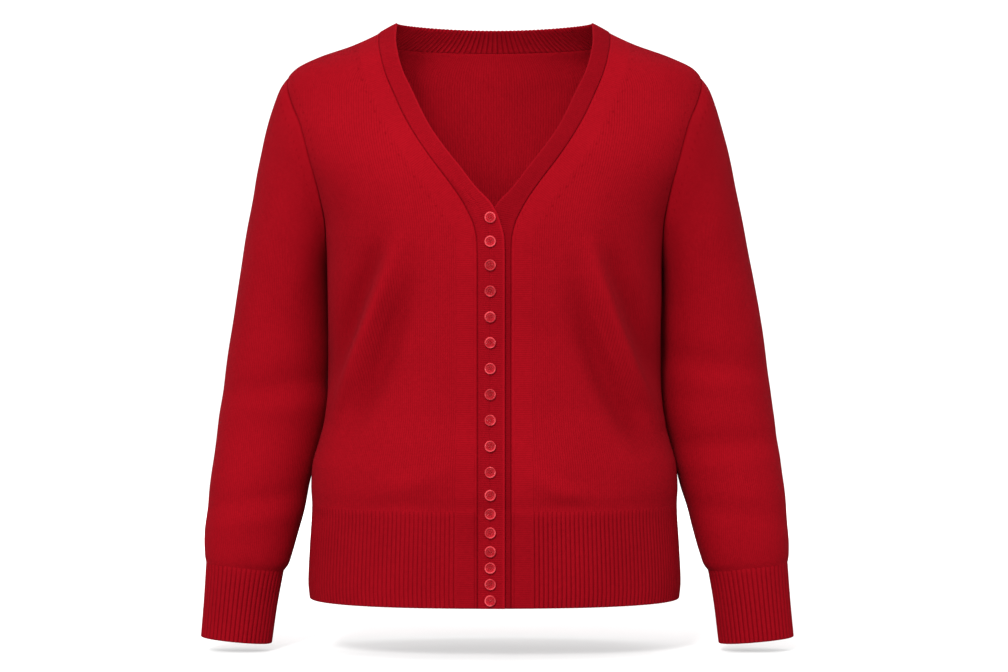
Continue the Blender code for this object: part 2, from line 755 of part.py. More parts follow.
def make_cuff(side_name):
    side = side_sign(side_name)
    rings = [[ring_point(side, ring, k) for k in range(SLEEVE_SIDES + 1)] for ring in CUFF]
    inner = inner_rings(rings, RIB_WALL)
    name = "cuff_" + side_name
    ribs = (0, SLEEVE_SIDES, CUFF_STEPS_PER_COLUMN)
    material = make_material(name, RED_RIB, 0.88)
    return knit_wall(name, by_column(rings), by_column(inner), material, closed=True, ribs=ribs)


# Buttons ------------------------------------------------------------------------------------------
def button_heights():
    heights = [FIRST_BUTTON]
    for count, pitch in BUTTON_PITCHES:
        for _ in range(count):
            heights.append(heights[-1] - pitch * MM)
    return heights


def band_face(height):
    """Middle of the top band's flat face at a height, and the way it faces."""
    levels = band_heights()
    above = next(k for k, level in enumerate(levels) if level > height)
    share = (height - levels[above - 1]) / (levels[above] - levels[above - 1])
    corners = []
    for across_share, crown in (BAND_LINES[1], BAND_LINES[2]):
        low, high = (band_point(-1, True, levels[k], across_share, crown)[0] for k in (above - 1, above))
        corners.append((low, high))
    (seam_low, seam_high), (edge_low, edge_high) = corners
    seam_side = seam_low.lerp(seam_high, share)
    edge_side = edge_low.lerp(edge_high, share)
    normal = (edge_side - seam_side).cross(seam_high - seam_low).normalized()
    if normal.y > 0:
        normal.negate()
    across_share = (BUTTON_ACROSS - seam_side.x) / (edge_side.x - seam_side.x)
    return seam_side.lerp(edge_side, across_share), normal


def button_seat(height):
    """Middle of a button's back, just clear of the band under the whole button."""
    point = band_face(height)[0]
    spots = [band_face(height + BUTTON_RADIUS * share)[0] for share in (-1, -0.5, 0, 0.5, 1)]
    across = band_face(height)[1].cross(Vector((0.0, 0.0, 1.0)))
    normal = (spots[-1] - spots[0]).cross(across).normalized()
    if normal.y > 0:
        normal.negate()
    proudest = max((spot - point).dot(normal) for spot in spots)
    return point + normal * (proudest + BUTTON_SEAT), normal


def make_button(number, height):
    """A turned disc with a raised rim and a dished middle, facing out of the band."""
    bm = bmesh.new()
    profile = [
        bm.verts.new((radius * BUTTON_RADIUS, 0.0, rise * BUTTON_THICKNESS))
        for radius, rise in BUTTON_PROFILE
    ]
    edges = [bm.edges.new(pair) for pair in zip(profile, profile[1:])]
    bmesh.ops.spin(
        bm,
        geom=profile + edges,
        axis=(0.0, 0.0, 1.0),
        cent=(0.0, 0.0, 0.0),
        steps=BUTTON_SIDES,
        angle=2 * math.pi,
        use_merge=True,
    )
    bmesh.ops.remove_doubles(bm, verts=bm.verts[:], dist=0.01 * MM)
    bmesh.ops.recalc_face_normals(bm, faces=bm.faces[:])
    name = f"button_{number:02d}"
    button = add_object(name, bm, make_material(name, RED_GLOSS, 0.25))
    button.location, normal = button_seat(height)
    button.rotation_mode = "QUATERNION"
    button.rotation_quaternion = normal.to_track_quat("Z", "Y")
    return button


def clear_scene():
    for piece in list(bpy.data.objects):
        bpy.data.objects.remove(piece, do_unlink=True)


def main():
    clear_scene()
    make_back()
    make_hem_back()
    make_neck_band_back()
    for side_name in ("right", "left"):
        make_front(side_name)
        make_hem_front(side_name)
        make_sleeve(side_name)
        make_cuff(side_name)
    make_band("right", on_top=True)
    make_band("left", on_top=False)
    for number, height in enumerate(button_heights(), start=1):
        make_button(number, height)


main()
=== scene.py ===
"""Looks of the button cardigan: fine red knit, filled out as if worn.

Each knitted piece is a closed wall of cloth laid on much the same rings as its
solid, in metres and in the same frame, and stands for that solid.
"""

import math

import bmesh
import bpy
import numpy as np
from mathutils import Matrix, Vector, noise


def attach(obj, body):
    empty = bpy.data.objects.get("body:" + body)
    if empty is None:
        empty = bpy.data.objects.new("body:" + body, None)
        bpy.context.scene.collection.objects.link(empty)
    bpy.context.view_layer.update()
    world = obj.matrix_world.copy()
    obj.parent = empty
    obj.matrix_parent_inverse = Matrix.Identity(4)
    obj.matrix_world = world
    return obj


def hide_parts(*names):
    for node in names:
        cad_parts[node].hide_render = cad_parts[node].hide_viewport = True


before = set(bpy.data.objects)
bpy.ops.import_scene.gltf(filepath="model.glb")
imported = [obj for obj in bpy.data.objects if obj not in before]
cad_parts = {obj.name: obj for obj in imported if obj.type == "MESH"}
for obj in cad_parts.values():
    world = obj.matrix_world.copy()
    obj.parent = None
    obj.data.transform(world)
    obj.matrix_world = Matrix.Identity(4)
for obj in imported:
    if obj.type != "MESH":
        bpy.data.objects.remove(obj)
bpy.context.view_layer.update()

MM = 0.001

# --- Walls and ribs ---
KNIT_WALL = 2.0 * MM
RIB_WALL = 2.2 * MM
BAND_WALL = 2.4 * MM
MOST_TUCK = 0.96
RIB_POWER = 0.7
RIB_RELIEF = 0.85 * MM
RIB_FADE = 7 * MM
RIB_FIRST_ROW = 3 * MM
RIB_UNDERLAP = 0.8 * MM
RIB_SINK = 0.5 * MM
BAND_RIB_PITCH = 2.15 * MM
BAND_RIB_RELIEF = 0.3 * MM
# The uneven swell of the cloth: how far apart its waves are, and how high.
BODY_SWELL = (48 * MM, 0.7 * MM)
SLEEVE_SWELL = (42 * MM, 0.8 * MM)
BAND_SWELL = (30 * MM, 0.35 * MM)

# --- Heights and widths of the body ---
HEM_BOTTOM = -591 * MM
HEM_TOP = -494 * MM
ARMPIT = -250 * MM
SHOULDER_TIP = -56 * MM
SHOULDER_AT_BAND = -10 * MM
BACK_NECK_SEAM = -27 * MM
BACK_NECK_EDGE = -4 * MM
FLAT_LEVEL = -330 * MM
PLAIN_STRIP_EDGE = 38 * MM
NECK_BAND_WIDTH = 23 * MM
CUFF_LENGTH = 76 * MM
SHOULDER_TURN = 2.2
SHOULDER_SHARE = 6 / 13

# The torso, section by section: height, half width, depth in front, depth behind.
SQUARENESS = 2.4
TORSO = (
    (-591, 190.5, 119, 108),
    (-575, 192.0, 118, 108),
    (-540, 190.5, 117, 107),
    (-494, 188.0, 117, 105),
    (-478, 188.8, 119.0, 107),
    (-455, 187.5, 119.5, 106),
    (-430, 181.0, 118.5, 100),
    (-410, 175.5, 117, 96),
    (-392, 172.5, 116, 93),
    (-330, 171.5, 117, 96),
    (-250, 172.0, 125, 105),
    (-210, 176.0, 126.5, 109),
    (-176, 188.0, 124, 111),
    (-140, 205.0, 116, 111),
    (-100, 216.0, 98, 107),
    (-70, 217.0, 79, 100),
    (-56, 212.0, 71, 95),
    (-47.4, 204.5, 66, 92),
    (-35, 180.0, 59, 88),
    (-22.7, 145.0, 50, 83),
    (-10, 118.0, 38, 74),
    (0, 100.0, 26, 65),
    (12, 84.0, 18, 58),
)
# The armhole seam: height and half width.
ARMHOLE = (
    (-250, 172.0),
    (-210, 172.5),
    (-176, 178.0),
    (-140, 187.5),
    (-104, 197.5),
    (-79, 208.0),
    (-66, 211.5),
    (-56, 212.0),
)
# The bands: seam height, seam, edge height, edge.
BAND = (
    (-591, 16.75, -591, -10.8),
    (-240, 16.75, -240, -10.8),
    (-222, 17.3, -221, -10.3),
    (-207, 20.2, -203, -6.0),
    (-193, 26.2, -186, 2.2),
    (-179, 34.2, -169.5, 17.6),
    (-159, 48.5, -148.5, 33.8),
    (-138, 64.5, -128, 50.0),
    (-117, 78.8, -107.5, 64.2),
    (-95.5, 91.2, -87, 75.0),
    (-75, 100.8, -67.5, 84.2),
    (-56, 109.0, -51.5, 92.0),
    (-37.5, 114.6, -33, 97.5),
    (-19, 117.8, -14, 100.3),
    (-10, 118.0, 0, 100.0),
)
BAND_WIDTH = 27.5 * MM
OVERLAP_TOP = -183 * MM
CROSSING_RUN = 45 * MM
BAND_PROUD = 0.6 * MM
BAND_CROWN = 0.45 * MM
BAND_CLEARANCE = 0.2 * MM
BAND_LIP = 0.7 * MM
UNDER_BAND_SUNK = 0.3 * MM
# As shares of the band's width: how far from the seam the overlap is reached, and
# where the top band's lip begins.
LAP_RUN = 0.24
LIP_START = 0.72
# Smooth margins, where the cross ribs begin and end, and the buttonholes' groove.
SEAM_MARGIN = (1.2 * MM, 3.4 * MM)
EDGE_MARGIN = (BAND_WIDTH - 3.4 * MM, BAND_WIDTH - 1.4 * MM)
BUTTONHOLE_LINE = 12.75 * MM
BUTTONHOLE_STATIONS = (-1.2, -0.5, 0.0, 0.5, 1.2)
GROOVE_SPREAD = 0.7 * MM
GROOVE_DEPTH = 0.5 * MM

# The right sleeve ring by ring: outermost point, its height, innermost point,
# its height, half its depth, how far its middle lies behind.
SLEEVE = (
    (212.0, -56, 172.0, -250.0, 54, 4),
    (219.5, -66, 172.4, -252.0, 54, 4),
    (229.0, -90, 172.2, -255.0, 57, 8),
    (237.0, -118, 172.0, -259.5, 59, 12),
    (244.0, -149, 171.8, -265.0, 61, 16),
    (250.5, -183, 171.6, -272.5, 62, 20),
    (257.5, -219, 171.4, -284.0, 62, 24),
    (263.5, -255, 171.2, -300.0, 61, 27),
    (269.5, -293, 171.0, -323.0, 59, 28),
    (275.5, -334, 171.0, -354.0, 57, 27),
    (281.5, -378, 171.6, -391.0, 54, 24),
    (287.0, -417, 178.0, -424.0, 52, 20),
    (291.0, -448, 186.0, -455.0, 50, 15),
    (295.0, -480, 193.8, -488.0, 47, 8),
    (297.5, -510, 201.0, -519.0, 43, 2),
    (299.0, -534, 208.0, -543.5, 39, -3),
    (298.5, -547, 212.5, -556.5, 35, -6),
    (297.0, -554, 217.0, -562.5, 31, -8),
)
CUFF = (
    (297.0, -554.0, 217.0, -562.5, 31, -8),
    (299.0, -590, 223.3, -597.0, 28.5, -12),
    (302.0, -630, 229.0, -637.0, 27, -16),
)
SLEEVE_SQUARENESS = 2.15
CAP_BLEND_RINGS = 5
SLEEVE_FADE = 30 * MM
# How much farther out the left sleeve hangs: height, outer side, inner side.
LEFT_SWING = (
    (-640, 6.0, 1.5),
    (-560, 5.0, 3.0),
    (-505, 4.5, 3.0),
    (-475, 4.5, 0.8),
    (-440, 4.5, 0.0),
    (-300, 5.0, 0.0),
    (-240, 3.0, 0.0),
    (-150, 1.0, 0.0),
    (-60, 0.0, 0.0),
)

# Over what lengths the folds die out at the hem rib and at the side.
FADE_BELOW = 2 * MM
FADE_ABOVE = 20 * MM
FADE_BESIDE = 14 * MM
FOLD_END = 0.06
# Folds: three points (across, height) of a bent line, spread and relief.
FRONT_FOLDS = (
    ((-98, -226), (-126, -312), (-161, -398), 7, 12.0),
    ((-114, -220), (-145, -296), (-168, -372), 9, -10.0),
    ((-84, -244), (-110, -330), (-152, -430), 12, -9.0),
    ((97, -230), (125, -324), (165, -408), 7, 12.0),
    ((112, -224), (143, -298), (168, -372), 9, -7.0),
    ((82, -258), (108, -346), (160, -444), 12, -9.5),
    ((-46, -452), (-78, -466), (-120, -472), 9, 2.5),
    ((34, -452), (60, -472), (96, -484), 8, 3.0),
)
BACK_FOLDS = (
    ((-96, -250), (-126, -322), (-158, -405), 12, 6.0),
    ((-70, -285), (-104, -352), (-150, -438), 15, -6.5),
    ((100, -262), (128, -330), (160, -412), 12, 6.0),
    ((74, -292), (106, -362), (152, -446), 15, -6.0),
    ((-60, -452), (-10, -466), (48, -470), 10, 3.5),
)
# Creases of the sleeves: side, height, slant, around, reach, spread, relief.
SLEEVE_FOLDS = (
    (-1, -372, 0.10, 105, 45, 11, -3.0),
    (-1, -393, 0.10, 100, 45, 11, 2.0),
    (-1, -488, 0.12, 95, 50, 10, -2.5),
    (-1, -508, 0.10, 95, 50, 10, 2.0),
    (-1, -385, -0.10, 250, 45, 12, -3.0),
    (-1, -470, -0.10, 265, 45, 11, -2.5),
    (1, -350, 0.12, 95, 40, 11, -3.0),
    (1, -368, 0.12, 95, 40, 11, 2.0),
    (1, -432, -0.05, 95, 50, 10, -3.0),
    (1, -450, -0.05, 95, 50, 10, 2.0),
    (1, -500, 0.10, 100, 45, 10, -2.0),
    (1, -376, -0.10, 255, 45, 12, -3.0),
    (1, -455, -0.10, 260, 45, 11, -2.5),
)

# --- How finely each piece is laid ---
SIDE_ROWS = 96
ARMHOLE_ROWS = 84
FRONT_COLUMNS = 92
STRIP_COLUMNS = 9
BACK_SHOULDER_COLUMNS = 36
BACK_NECK_COLUMNS = 41
BACK_SIDE_ROWS = 80
BACK_ARMHOLE_ROWS = 70
NECK_ROWS = 9
SLEEVE_COLUMNS = 104
SLEEVE_ROWS = 176
BAND_COLUMNS = 11
BAND_RIB_STEPS = 4
RIB_STEPS = 8
FRONT_RIBS = 47
BACK_RIBS = 111
NECK_RIBS = 64
CUFF_RIBS = 45
RIB_UNIT = 4.5 * MM
HEM_ROWS = 18
# Rough lengths, where stations are laid as shares of one.
ARMHOLE_LENGTH = 0.2
BACK_HALF_WIDTH = 0.25
# How many points measure a length: round a sleeve, along a quarter of the torso,
# along a sleeve, a ring of the torso, a band, and the seams of bands and sleeves.
DENSE = 720
QUARTER_STEPS = 400
SLEEVE_STEPS = 400
RING_STEPS = 2000
BAND_STEPS = 3000
SEAM_STEPS = 160
ARMHOLE_STEPS = 60
QUARTER = 0.5 * math.pi
SIDE_NAMES = ("right", "left")
ALL_ROUND = np.linspace(-math.pi, math.pi, DENSE + 1)


# --- Reading the tables ---
def smooth_curve(stations, values):
    """A function that passes smoothly through values, and level where they turn."""
    stations = np.array(stations, float)
    values = np.array(values, float)
    steps = np.diff(stations)
    rises = np.diff(values) / steps
    slopes = np.empty_like(values)
    slopes[0], slopes[-1] = rises[0], rises[-1]
    for k in range(1, len(values) - 1):
        before, after = rises[k - 1], rises[k]
        slopes[k] = 0.0
        if before * after > 0:
            weight_before = 2 * steps[k] + steps[k - 1]
            weight_after = steps[k] + 2 * steps[k - 1]
            slopes[k] = (weight_before + weight_after) / (weight_before / before + weight_after / after)

    def read(station):
        station = np.asarray(station, float)
        k = np.clip(np.searchsorted(stations, station, side="right") - 1, 0, len(steps) - 1)
        share = np.clip((station - stations[k]) / steps[k], 0.0, 1.0)
        square, cube = share**2, share**3
        value = (2 * cube - 3 * square + 1) * values[k] + (cube - 2 * square + share) * slopes[k] * steps[k]
        return value + (3 * square - 2 * cube) * values[k + 1] + (cube - square) * slopes[k + 1] * steps[k]

    return read


def height_curve(rows, column):
    """A column of a table as a curve over height, in metres."""
    return smooth_curve([row[0] * MM for row in rows], [row[column] * MM for row in rows])


half_width = height_curve(TORSO, 1)
front_depth = height_curve(TORSO, 2)
back_depth = height_curve(TORSO, 3)
armhole_across = height_curve(ARMHOLE, 1)
band_seam = height_curve(BAND, 1)
band_edge_height = height_curve(BAND, 2)
band_edge = height_curve(BAND, 3)
swing_outer = height_curve(LEFT_SWING, 1)
swing_inner = height_curve(LEFT_SWING, 2)


# --- The form of the torso ---
def rounded_square(angles, squareness):
    """Across, along and reach of a rounded square at these angles."""
    across, along = np.cos(angles), np.sin(angles)
    return across, along, (abs(across) ** squareness + abs(along) ** squareness) ** (1 / squareness)


def torso(side, angle, height, behind):
    """Points of the torso: angle 0 is the side of the body, a right angle its middle."""
    angle, height = np.broadcast_arrays(np.asarray(angle, float), np.asarray(height, float))
    across, along, reach = rounded_square(angle, SQUARENESS)
    depth = back_depth(height) if behind else -front_depth(height)
    return np.stack([side * half_width(height) * across / reach, depth * along / reach, height], axis=-1)


def torso_angle(across, height):
    """Angle at which the torso is this far from the centre line, or past it."""
    share = np.clip(np.asarray(across) / half_width(height), -1.0, 1.0)
    along = (1 - abs(share) ** SQUARENESS) ** (1 / SQUARENESS)
    return np.arctan2(along, share)


def spread_out(points):
    """How far along a line of points each one is, or along each column of a grid."""
    steps = np.linalg.norm(np.diff(points, axis=0), axis=-1)
    return np.concatenate([np.zeros((1,) + steps.shape[1:]), np.cumsum(steps, axis=0)])


def spread_up(points):
    """How far up a grid of points each one is."""
    return spread_out(points.transpose(1, 0, 2)).transpose(1, 0)


def even_shares(first_angle, last_angle, shares, behind):
    """Angles that lie at these shares of the way round the torso, above the hem rib."""
    angles = np.linspace(first_angle, last_angle, RING_STEPS)
    lengths = spread_out(torso(1, angles, HEM_TOP, behind))
    return np.interp(np.asarray(shares) * lengths[-1], lengths, angles)


def back_angles(shares):
    """Angles round the whole back for arc shares from the right side to the left."""
    return even_shares(0.0, QUARTER, np.minimum(shares, 1 - shares) * 2, True)


def segment_distances(points, line):
    """Distance from points to a bent line, how far along it they are, and its length."""
    best = np.full(points.shape[:-1], np.inf)
    along = np.zeros(points.shape[:-1])
    travelled = 0.0
    for start, end in zip(line[:-1], line[1:]):
        run = end - start
        length = np.linalg.norm(run)
        share = np.clip(((points - start) @ run) / length**2, 0.0, 1.0)
        apart = np.linalg.norm(points - (start + share[..., None] * run), axis=-1)
        closer = apart < best
        best = np.where(closer, apart, best)
        along = np.where(closer, travelled + share * length, along)
        travelled += length
    return best, along, travelled


def bent_line(start, middle, end, steps=14):
    """A line through three points, bent evenly."""
    share = np.linspace(0, 1, steps + 1)[:, None]
    start, middle, end = (np.array(point, float) for point in (start, middle, end))
    handle = 2 * middle - 0.5 * (start + end)
    return (1 - share) ** 2 * start + 2 * share * (1 - share) * handle + share**2 * end


def fold_relief(folds, across, height):
    """How far the folds lift or sink the cloth. They fade out towards their ends."""
    spots = np.stack([across, height], axis=-1) / MM
    total = np.zeros(across.shape)
    for start, middle, end, spread, relief in folds:
        apart, along, length = segment_distances(spots, bent_line(start, middle, end))
        fade = np.sin(math.pi * (FOLD_END + (1 - 2 * FOLD_END) * along / length))
        total += relief * fade * np.exp(-0.5 * (apart / spread) ** 2)
    return total * MM


def soft_noise(points, scale, depth):
    """Slow uneven swell of the cloth."""
    flat = points.reshape(-1, 3) / scale
    values = [noise.noise(Vector(point)) for point in flat]
    return np.array(values).reshape(points.shape[:-1]) * depth


def ease(value, start, end):
    """From nought to one between start and end, with soft ends."""
    share = np.clip((value - start) / (end - start), 0.0, 1.0)
    return share * share * (3 - 2 * share)


def side_sign(side_name):
    """The wearer's right is on -X."""
    return -1 if side_name == "right" else 1


# --- Laying cloth on a form ---
def outward_normals(points, middle):
    """Directions out of a grid of points, away from middle."""
    normals = np.cross(np.gradient(points, axis=0), np.gradient(points, axis=1))
    normals /= np.maximum(np.linalg.norm(normals, axis=-1, keepdims=True), 1e-12)
    flip = np.sum(normals * (points - middle), axis=-1) < 0
    normals[flip] *= -1
    return normals


def torso_normals(base):
    """Directions out of the torso, away from its upright middle line."""
    return outward_normals(base, base * np.array([0.0, 0.0, 1.0]))


def tuck_at(distance, wall):
    """How far a wall draws in at its edge, so that the edge is round."""
    radius = 0.5 * wall
    near = np.clip(1 - distance / radius, 0.0, MOST_TUCK)
    return radius * (1 - np.sqrt(1 - near**2))


def rim_steps(wall):
    """How far from its edge a wall needs rows close together, to turn round there."""
    return np.array([0.06, 0.25, 0.6]) * 0.5 * wall


def edge_stations(first, last, count, at_first=True, at_last=True, wall=KNIT_WALL):
    """Even stations between two lengths, with a few close together at round edges."""
    extra = []
    if at_first:
        extra += list(first + rim_steps(wall))
    if at_last:
        extra += list(last - rim_steps(wall))
    return np.unique(np.round(np.concatenate([np.linspace(first, last, count + 1), extra]), 9))


def edge_distance(base):
    """Distance of a grid's points from its two upright edges."""
    across = spread_out(base)
    return np.minimum(across, across[-1] - across)


def wall_sides(base, normals, relief, wall, distance, lift=0.0):
    """Outer and inner points of a wall that draws in at its edges."""
    tuck = tuck_at(distance, wall)
    outer = base + normals * (lift + relief - tuck)[..., None]
    inner = base + normals * (lift + relief - wall + tuck)[..., None]
    return outer, inner


def flat_layout(across, points):
    """The knit's flat layout: across as given, and up the cloth row by row."""
    return np.stack([across, spread_up(points)], axis=-1)


def edge_layout(points, line):
    """A layout beside a seam: how far from it, and how far along it."""
    distance, along, _ = segment_distances(points, line)
    return np.stack([distance, along], axis=-1)


def mesh_from(name, bm, material):
    """A mesh of bm's faces, in one material."""
    mesh = bpy.data.meshes.new(name)
    bm.to_mesh(mesh)
    bm.free()
    mesh.materials.append(material)
    return mesh


def put_in_scene(name, data):
    """An object in the scene that shows this mesh, lamp or camera."""
    made = bpy.data.objects.new(name, data)
    bpy.context.collection.objects.link(made)
    return made


def finish_piece(name, bm, material, stands_for=None, sharp=60):
    """A piece of bm's faces that rides the body, and can stand for a solid."""
    mesh = mesh_from(name, bm, material)
    mesh.shade_smooth()
    mesh.set_sharp_from_angle(angle=math.radians(sharp))
    piece = put_in_scene(name, mesh)
    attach(piece, "root")
    if stands_for:
        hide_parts(stands_for)


def cloth_piece(name, stands_for, material, sides, layouts, closed=False):
    """A closed wall of cloth between two grids of points, with its flat layouts as UV maps."""
    outer, inner = sides
    columns, rows = outer.shape[0] - 1, outer.shape[1] - 1
    bm = bmesh.new()
    bmesh.ops.create_grid(bm, x_segments=columns, y_segments=rows, size=0.5)
    column_of = bm.verts.layers.int.new("column")
    row_of = bm.verts.layers.int.new("row")
    for vertex in bm.verts:
        vertex[column_of] = round((vertex.co.x + 0.5) * columns)
        vertex[row_of] = round((vertex.co.y + 0.5) * rows)
    shell = bmesh.ops.extrude_face_region(bm, geom=bm.verts[:] + bm.edges[:] + bm.faces[:], use_keep_orig=True)
    inside = {element for element in shell["geom"] if isinstance(element, bmesh.types.BMVert)}
    for vertex in bm.verts:
        grid = inner if vertex in inside else outer
        vertex.co = grid[vertex[column_of], vertex[row_of]]
    maps = [(bm.loops.layers.uv.new(title), layout) for title, layout in layouts.items()]
    for face in bm.faces:
        for loop in face.loops:
            column, row = loop.vert[column_of], loop.vert[row_of]
            for layer, layout in maps:
                loop[layer].uv = layout[column, row]
    if closed:
        ends = [face for face in bm.faces if len({vertex[column_of] for vertex in face.verts}) == 1]
        bmesh.ops.delete(bm, geom=ends, context="FACES_ONLY")
        bmesh.ops.remove_doubles(bm, verts=bm.verts[:], dist=0.0005 * MM)
    bmesh.ops.recalc_face_normals(bm, faces=bm.faces[:])
    for layer in (column_of, row_of):
        bm.verts.layers.int.remove(layer)
    finish_piece(name, bm, material, stands_for)


# --- Fronts and back ---
def seam_line(side):
    """Where the band is joined to the front, from the hem to the shoulder."""
    levels = np.linspace(HEM_BOTTOM, SHOULDER_AT_BAND, SEAM_STEPS)
    return torso(side, torso_angle(band_seam(levels), levels), levels, False)


def armhole_line(side, behind):
    """Where the sleeve is joined to the body, from the armpit to the shoulder."""
    levels = np.linspace(ARMPIT, SHOULDER_TIP, ARMHOLE_STEPS)
    return torso(side, torso_angle(armhole_across(levels), levels), levels, behind)


def hem_seam_angle():
    """Angle of the band's seam where the hem rib ends."""
    return float(torso_angle(band_seam(HEM_TOP), HEM_TOP))


def armhole_climb(rows):
    """Shares of the way up an armhole, the armhole's heights there, and its angles."""
    climb = edge_stations(0, 1, rows, at_first=False, wall=KNIT_WALL / ARMHOLE_LENGTH)[1:]
    heights = ARMPIT + (SHOULDER_TIP - ARMPIT) * 0.5 * (1 - np.cos(math.pi * climb))
    return climb, heights, torso_angle(armhole_across(heights), heights)


def width_round(angles, behind):
    """Width from the side seam to these angles, and to the middle, at one height."""
    turns = np.linspace(0, QUARTER, QUARTER_STEPS)
    reference = spread_out(torso(1, turns, FLAT_LEVEL, behind))
    return np.interp(angles, turns, reference), reference[-1]


def body_relief(base, behind, from_side):
    """Folds and a slight swell, which die out at the rib and at the side."""
    folds = BACK_FOLDS if behind else FRONT_FOLDS
    relief = fold_relief(folds, base[..., 0], base[..., 2])
    relief += soft_noise(base, *BODY_SWELL)
    fade = ease(base[..., 2], HEM_TOP - FADE_BELOW, HEM_TOP + FADE_ABOVE)
    return relief * fade * ease(from_side, 0.0, FADE_BESIDE)


def body_sides(base, relief):
    """Outer and inner points of a front or back, round at its sides and at its top."""
    up = spread_up(base)
    distance = np.minimum(edge_distance(base), up[:, -1:] - up)
    return wall_sides(base, torso_normals(base), relief, KNIT_WALL, distance)


def stacked(lower, levels, upper, heights):
    """Angles and heights of a grid with even rows below and other rows above them."""
    even = np.broadcast_to(levels, lower.shape)
    return np.concatenate([lower, upper], axis=1), np.concatenate([even, heights], axis=1)


def front_grid(shares):
    """Angles and heights of a front, column by column from the side seam."""
    side_levels = np.linspace(HEM_TOP, ARMPIT, SIDE_ROWS + 1)
    seam_angle = torso_angle(band_seam(side_levels), side_levels)
    climb, at_armhole, armhole = armhole_climb(ARMHOLE_ROWS)
    at_seam = ARMPIT + (SHOULDER_AT_BAND - ARMPIT) * np.sin(QUARTER * climb)
    seam = torso_angle(band_seam(at_seam), at_seam)
    upper_angles = (1 - shares)[:, None] * armhole + shares[:, None] * seam
    upper_heights = (1 - shares)[:, None] * at_armhole + shares[:, None] * at_seam
    return stacked(shares[:, None] * seam_angle, side_levels, upper_angles, upper_heights)


def make_front(side_name, material):
    side = side_sign(side_name)
    seam_angle = hem_seam_angle()
    width = spread_out(torso(1, np.linspace(0, seam_angle, QUARTER_STEPS), HEM_TOP, False))[-1]
    arcs = edge_stations(0, width, FRONT_COLUMNS) / width
    angles, heights = front_grid(even_shares(0.0, seam_angle, arcs, False) / seam_angle)
    base = torso(side, angles, heights, False)
    relief = body_relief(base, False, spread_out(base))
    # The fold layout carries the folds' relief to the knit's colour, which is darkened in the troughs as painted
    # shade.
    layouts = {"knit": flat_layout(width_round(angles, False)[0], base),
               "band_edge": edge_layout(base, seam_line(side)),
               "armhole": edge_layout(base, armhole_line(side, False)),
               "fold": np.stack([relief, relief], axis=-1)}
    cloth_piece("front_knit_" + side_name, "front_" + side_name, material,
                body_sides(base, relief), layouts)


def back_grid(arcs, half):
    """Angles and heights of the back, column by column, half being nought at its sides."""
    angle = back_angles(arcs)
    share = angle / QUARTER
    levels = np.linspace(HEM_TOP, ARMPIT, BACK_SIDE_ROWS + 1)
    climb, at_armhole, armhole = armhole_climb(BACK_ARMHOLE_ROWS)
    on_neck = np.clip((half - SHOULDER_SHARE) / (1 - SHOULDER_SHARE), 0.0, 1.0)
    top_angle = QUARTER * on_neck
    shoulder = SHOULDER_TIP + (SHOULDER_AT_BAND - SHOULDER_TIP) * np.minimum(half / SHOULDER_SHARE, 1.0)
    neck = SHOULDER_AT_BAND + (BACK_NECK_SEAM - SHOULDER_AT_BAND) * np.sin(top_angle)
    top_height = np.where(on_neck > 0, neck, shoulder)
    turn_in = climb**SHOULDER_TURN
    spread = (1 - turn_in) * share[:, None] + turn_in * top_angle[:, None] / QUARTER
    middle = ARMPIT + (BACK_NECK_SEAM - ARMPIT) * climb
    corner = (1 - share) * SHOULDER_TIP + share * BACK_NECK_SEAM
    upper_heights = turn_in * (top_height - corner)[:, None]
    upper_heights = upper_heights + (1 - share)[:, None] * at_armhole + share[:, None] * middle
    upper_angles = armhole + (QUARTER - armhole) * spread
    lower_angles = np.broadcast_to(angle[:, None], (len(arcs), len(levels)))
    return stacked(lower_angles, levels, upper_angles, upper_heights)


def make_back(material):
    half_arcs = np.unique(np.round(np.concatenate([
        np.linspace(0, SHOULDER_SHARE, BACK_SHOULDER_COLUMNS),
        np.linspace(SHOULDER_SHARE, 1, BACK_NECK_COLUMNS),
        rim_steps(KNIT_WALL) / BACK_HALF_WIDTH]), 7))
    arcs = np.concatenate([half_arcs, 2 - half_arcs[-2::-1]]) / 2
    sides = np.where(arcs < 0.5, -1.0, 1.0)
    angles, heights = back_grid(arcs, np.minimum(arcs, 1 - arcs) * 2)
    base = torso(sides[:, None], angles, heights, True)
    relief = body_relief(base, True, edge_distance(base))
    across, middle = width_round(angles, True)
    across = np.where(sides[:, None] < 0, across, 2 * middle - across)
    near_right = edge_layout(base, armhole_line(-1, True))
    near_left = edge_layout(base, armhole_line(1, True))
    layouts = {"knit": flat_layout(across, base),
               "armhole": np.where(sides[:, None, None] < 0, near_right, near_left)}
    cloth_piece("back_knit", "back", material, body_sides(base, relief), layouts)


# --- Ribs ---
def rib_turns(ribs):
    """How many ribs have passed, at each column of a ribbed piece."""
    return np.linspace(0, ribs, ribs * RIB_STEPS + 1)


def rib_profile(turns):
    """Height of a ribbed surface: round wales with narrow grooves between them."""
    return abs(np.cos(math.pi * turns)) ** RIB_POWER - 1


def rib_rows(low, high):
    """Stations up a rib, close together where its free edge turns round."""
    rim = np.concatenate([[0.0], rim_steps(RIB_WALL), [0.5 * RIB_WALL]])
    return np.concatenate([low + rim, np.linspace(low + RIB_FIRST_ROW, high, HEM_ROWS)])


def rib_relief(turns, stations, top):
    """Ribs that fade into the plain knit over the last few rows, which lie under it."""
    depth = ease(top - stations, 0.0, RIB_FADE)
    return RIB_RELIEF * rib_profile(turns)[:, None] * depth + np.where(stations > top, -RIB_SINK, 0.0)


def rib_layout(turns, base):
    """The flat layout of a rib, in which each rib is a unit wide."""
    return flat_layout((turns + 0.5)[:, None] * RIB_UNIT + np.zeros(base.shape[1]), base)


def hem_levels():
    return np.append(rib_rows(HEM_BOTTOM, HEM_TOP), HEM_TOP + RIB_UNDERLAP)


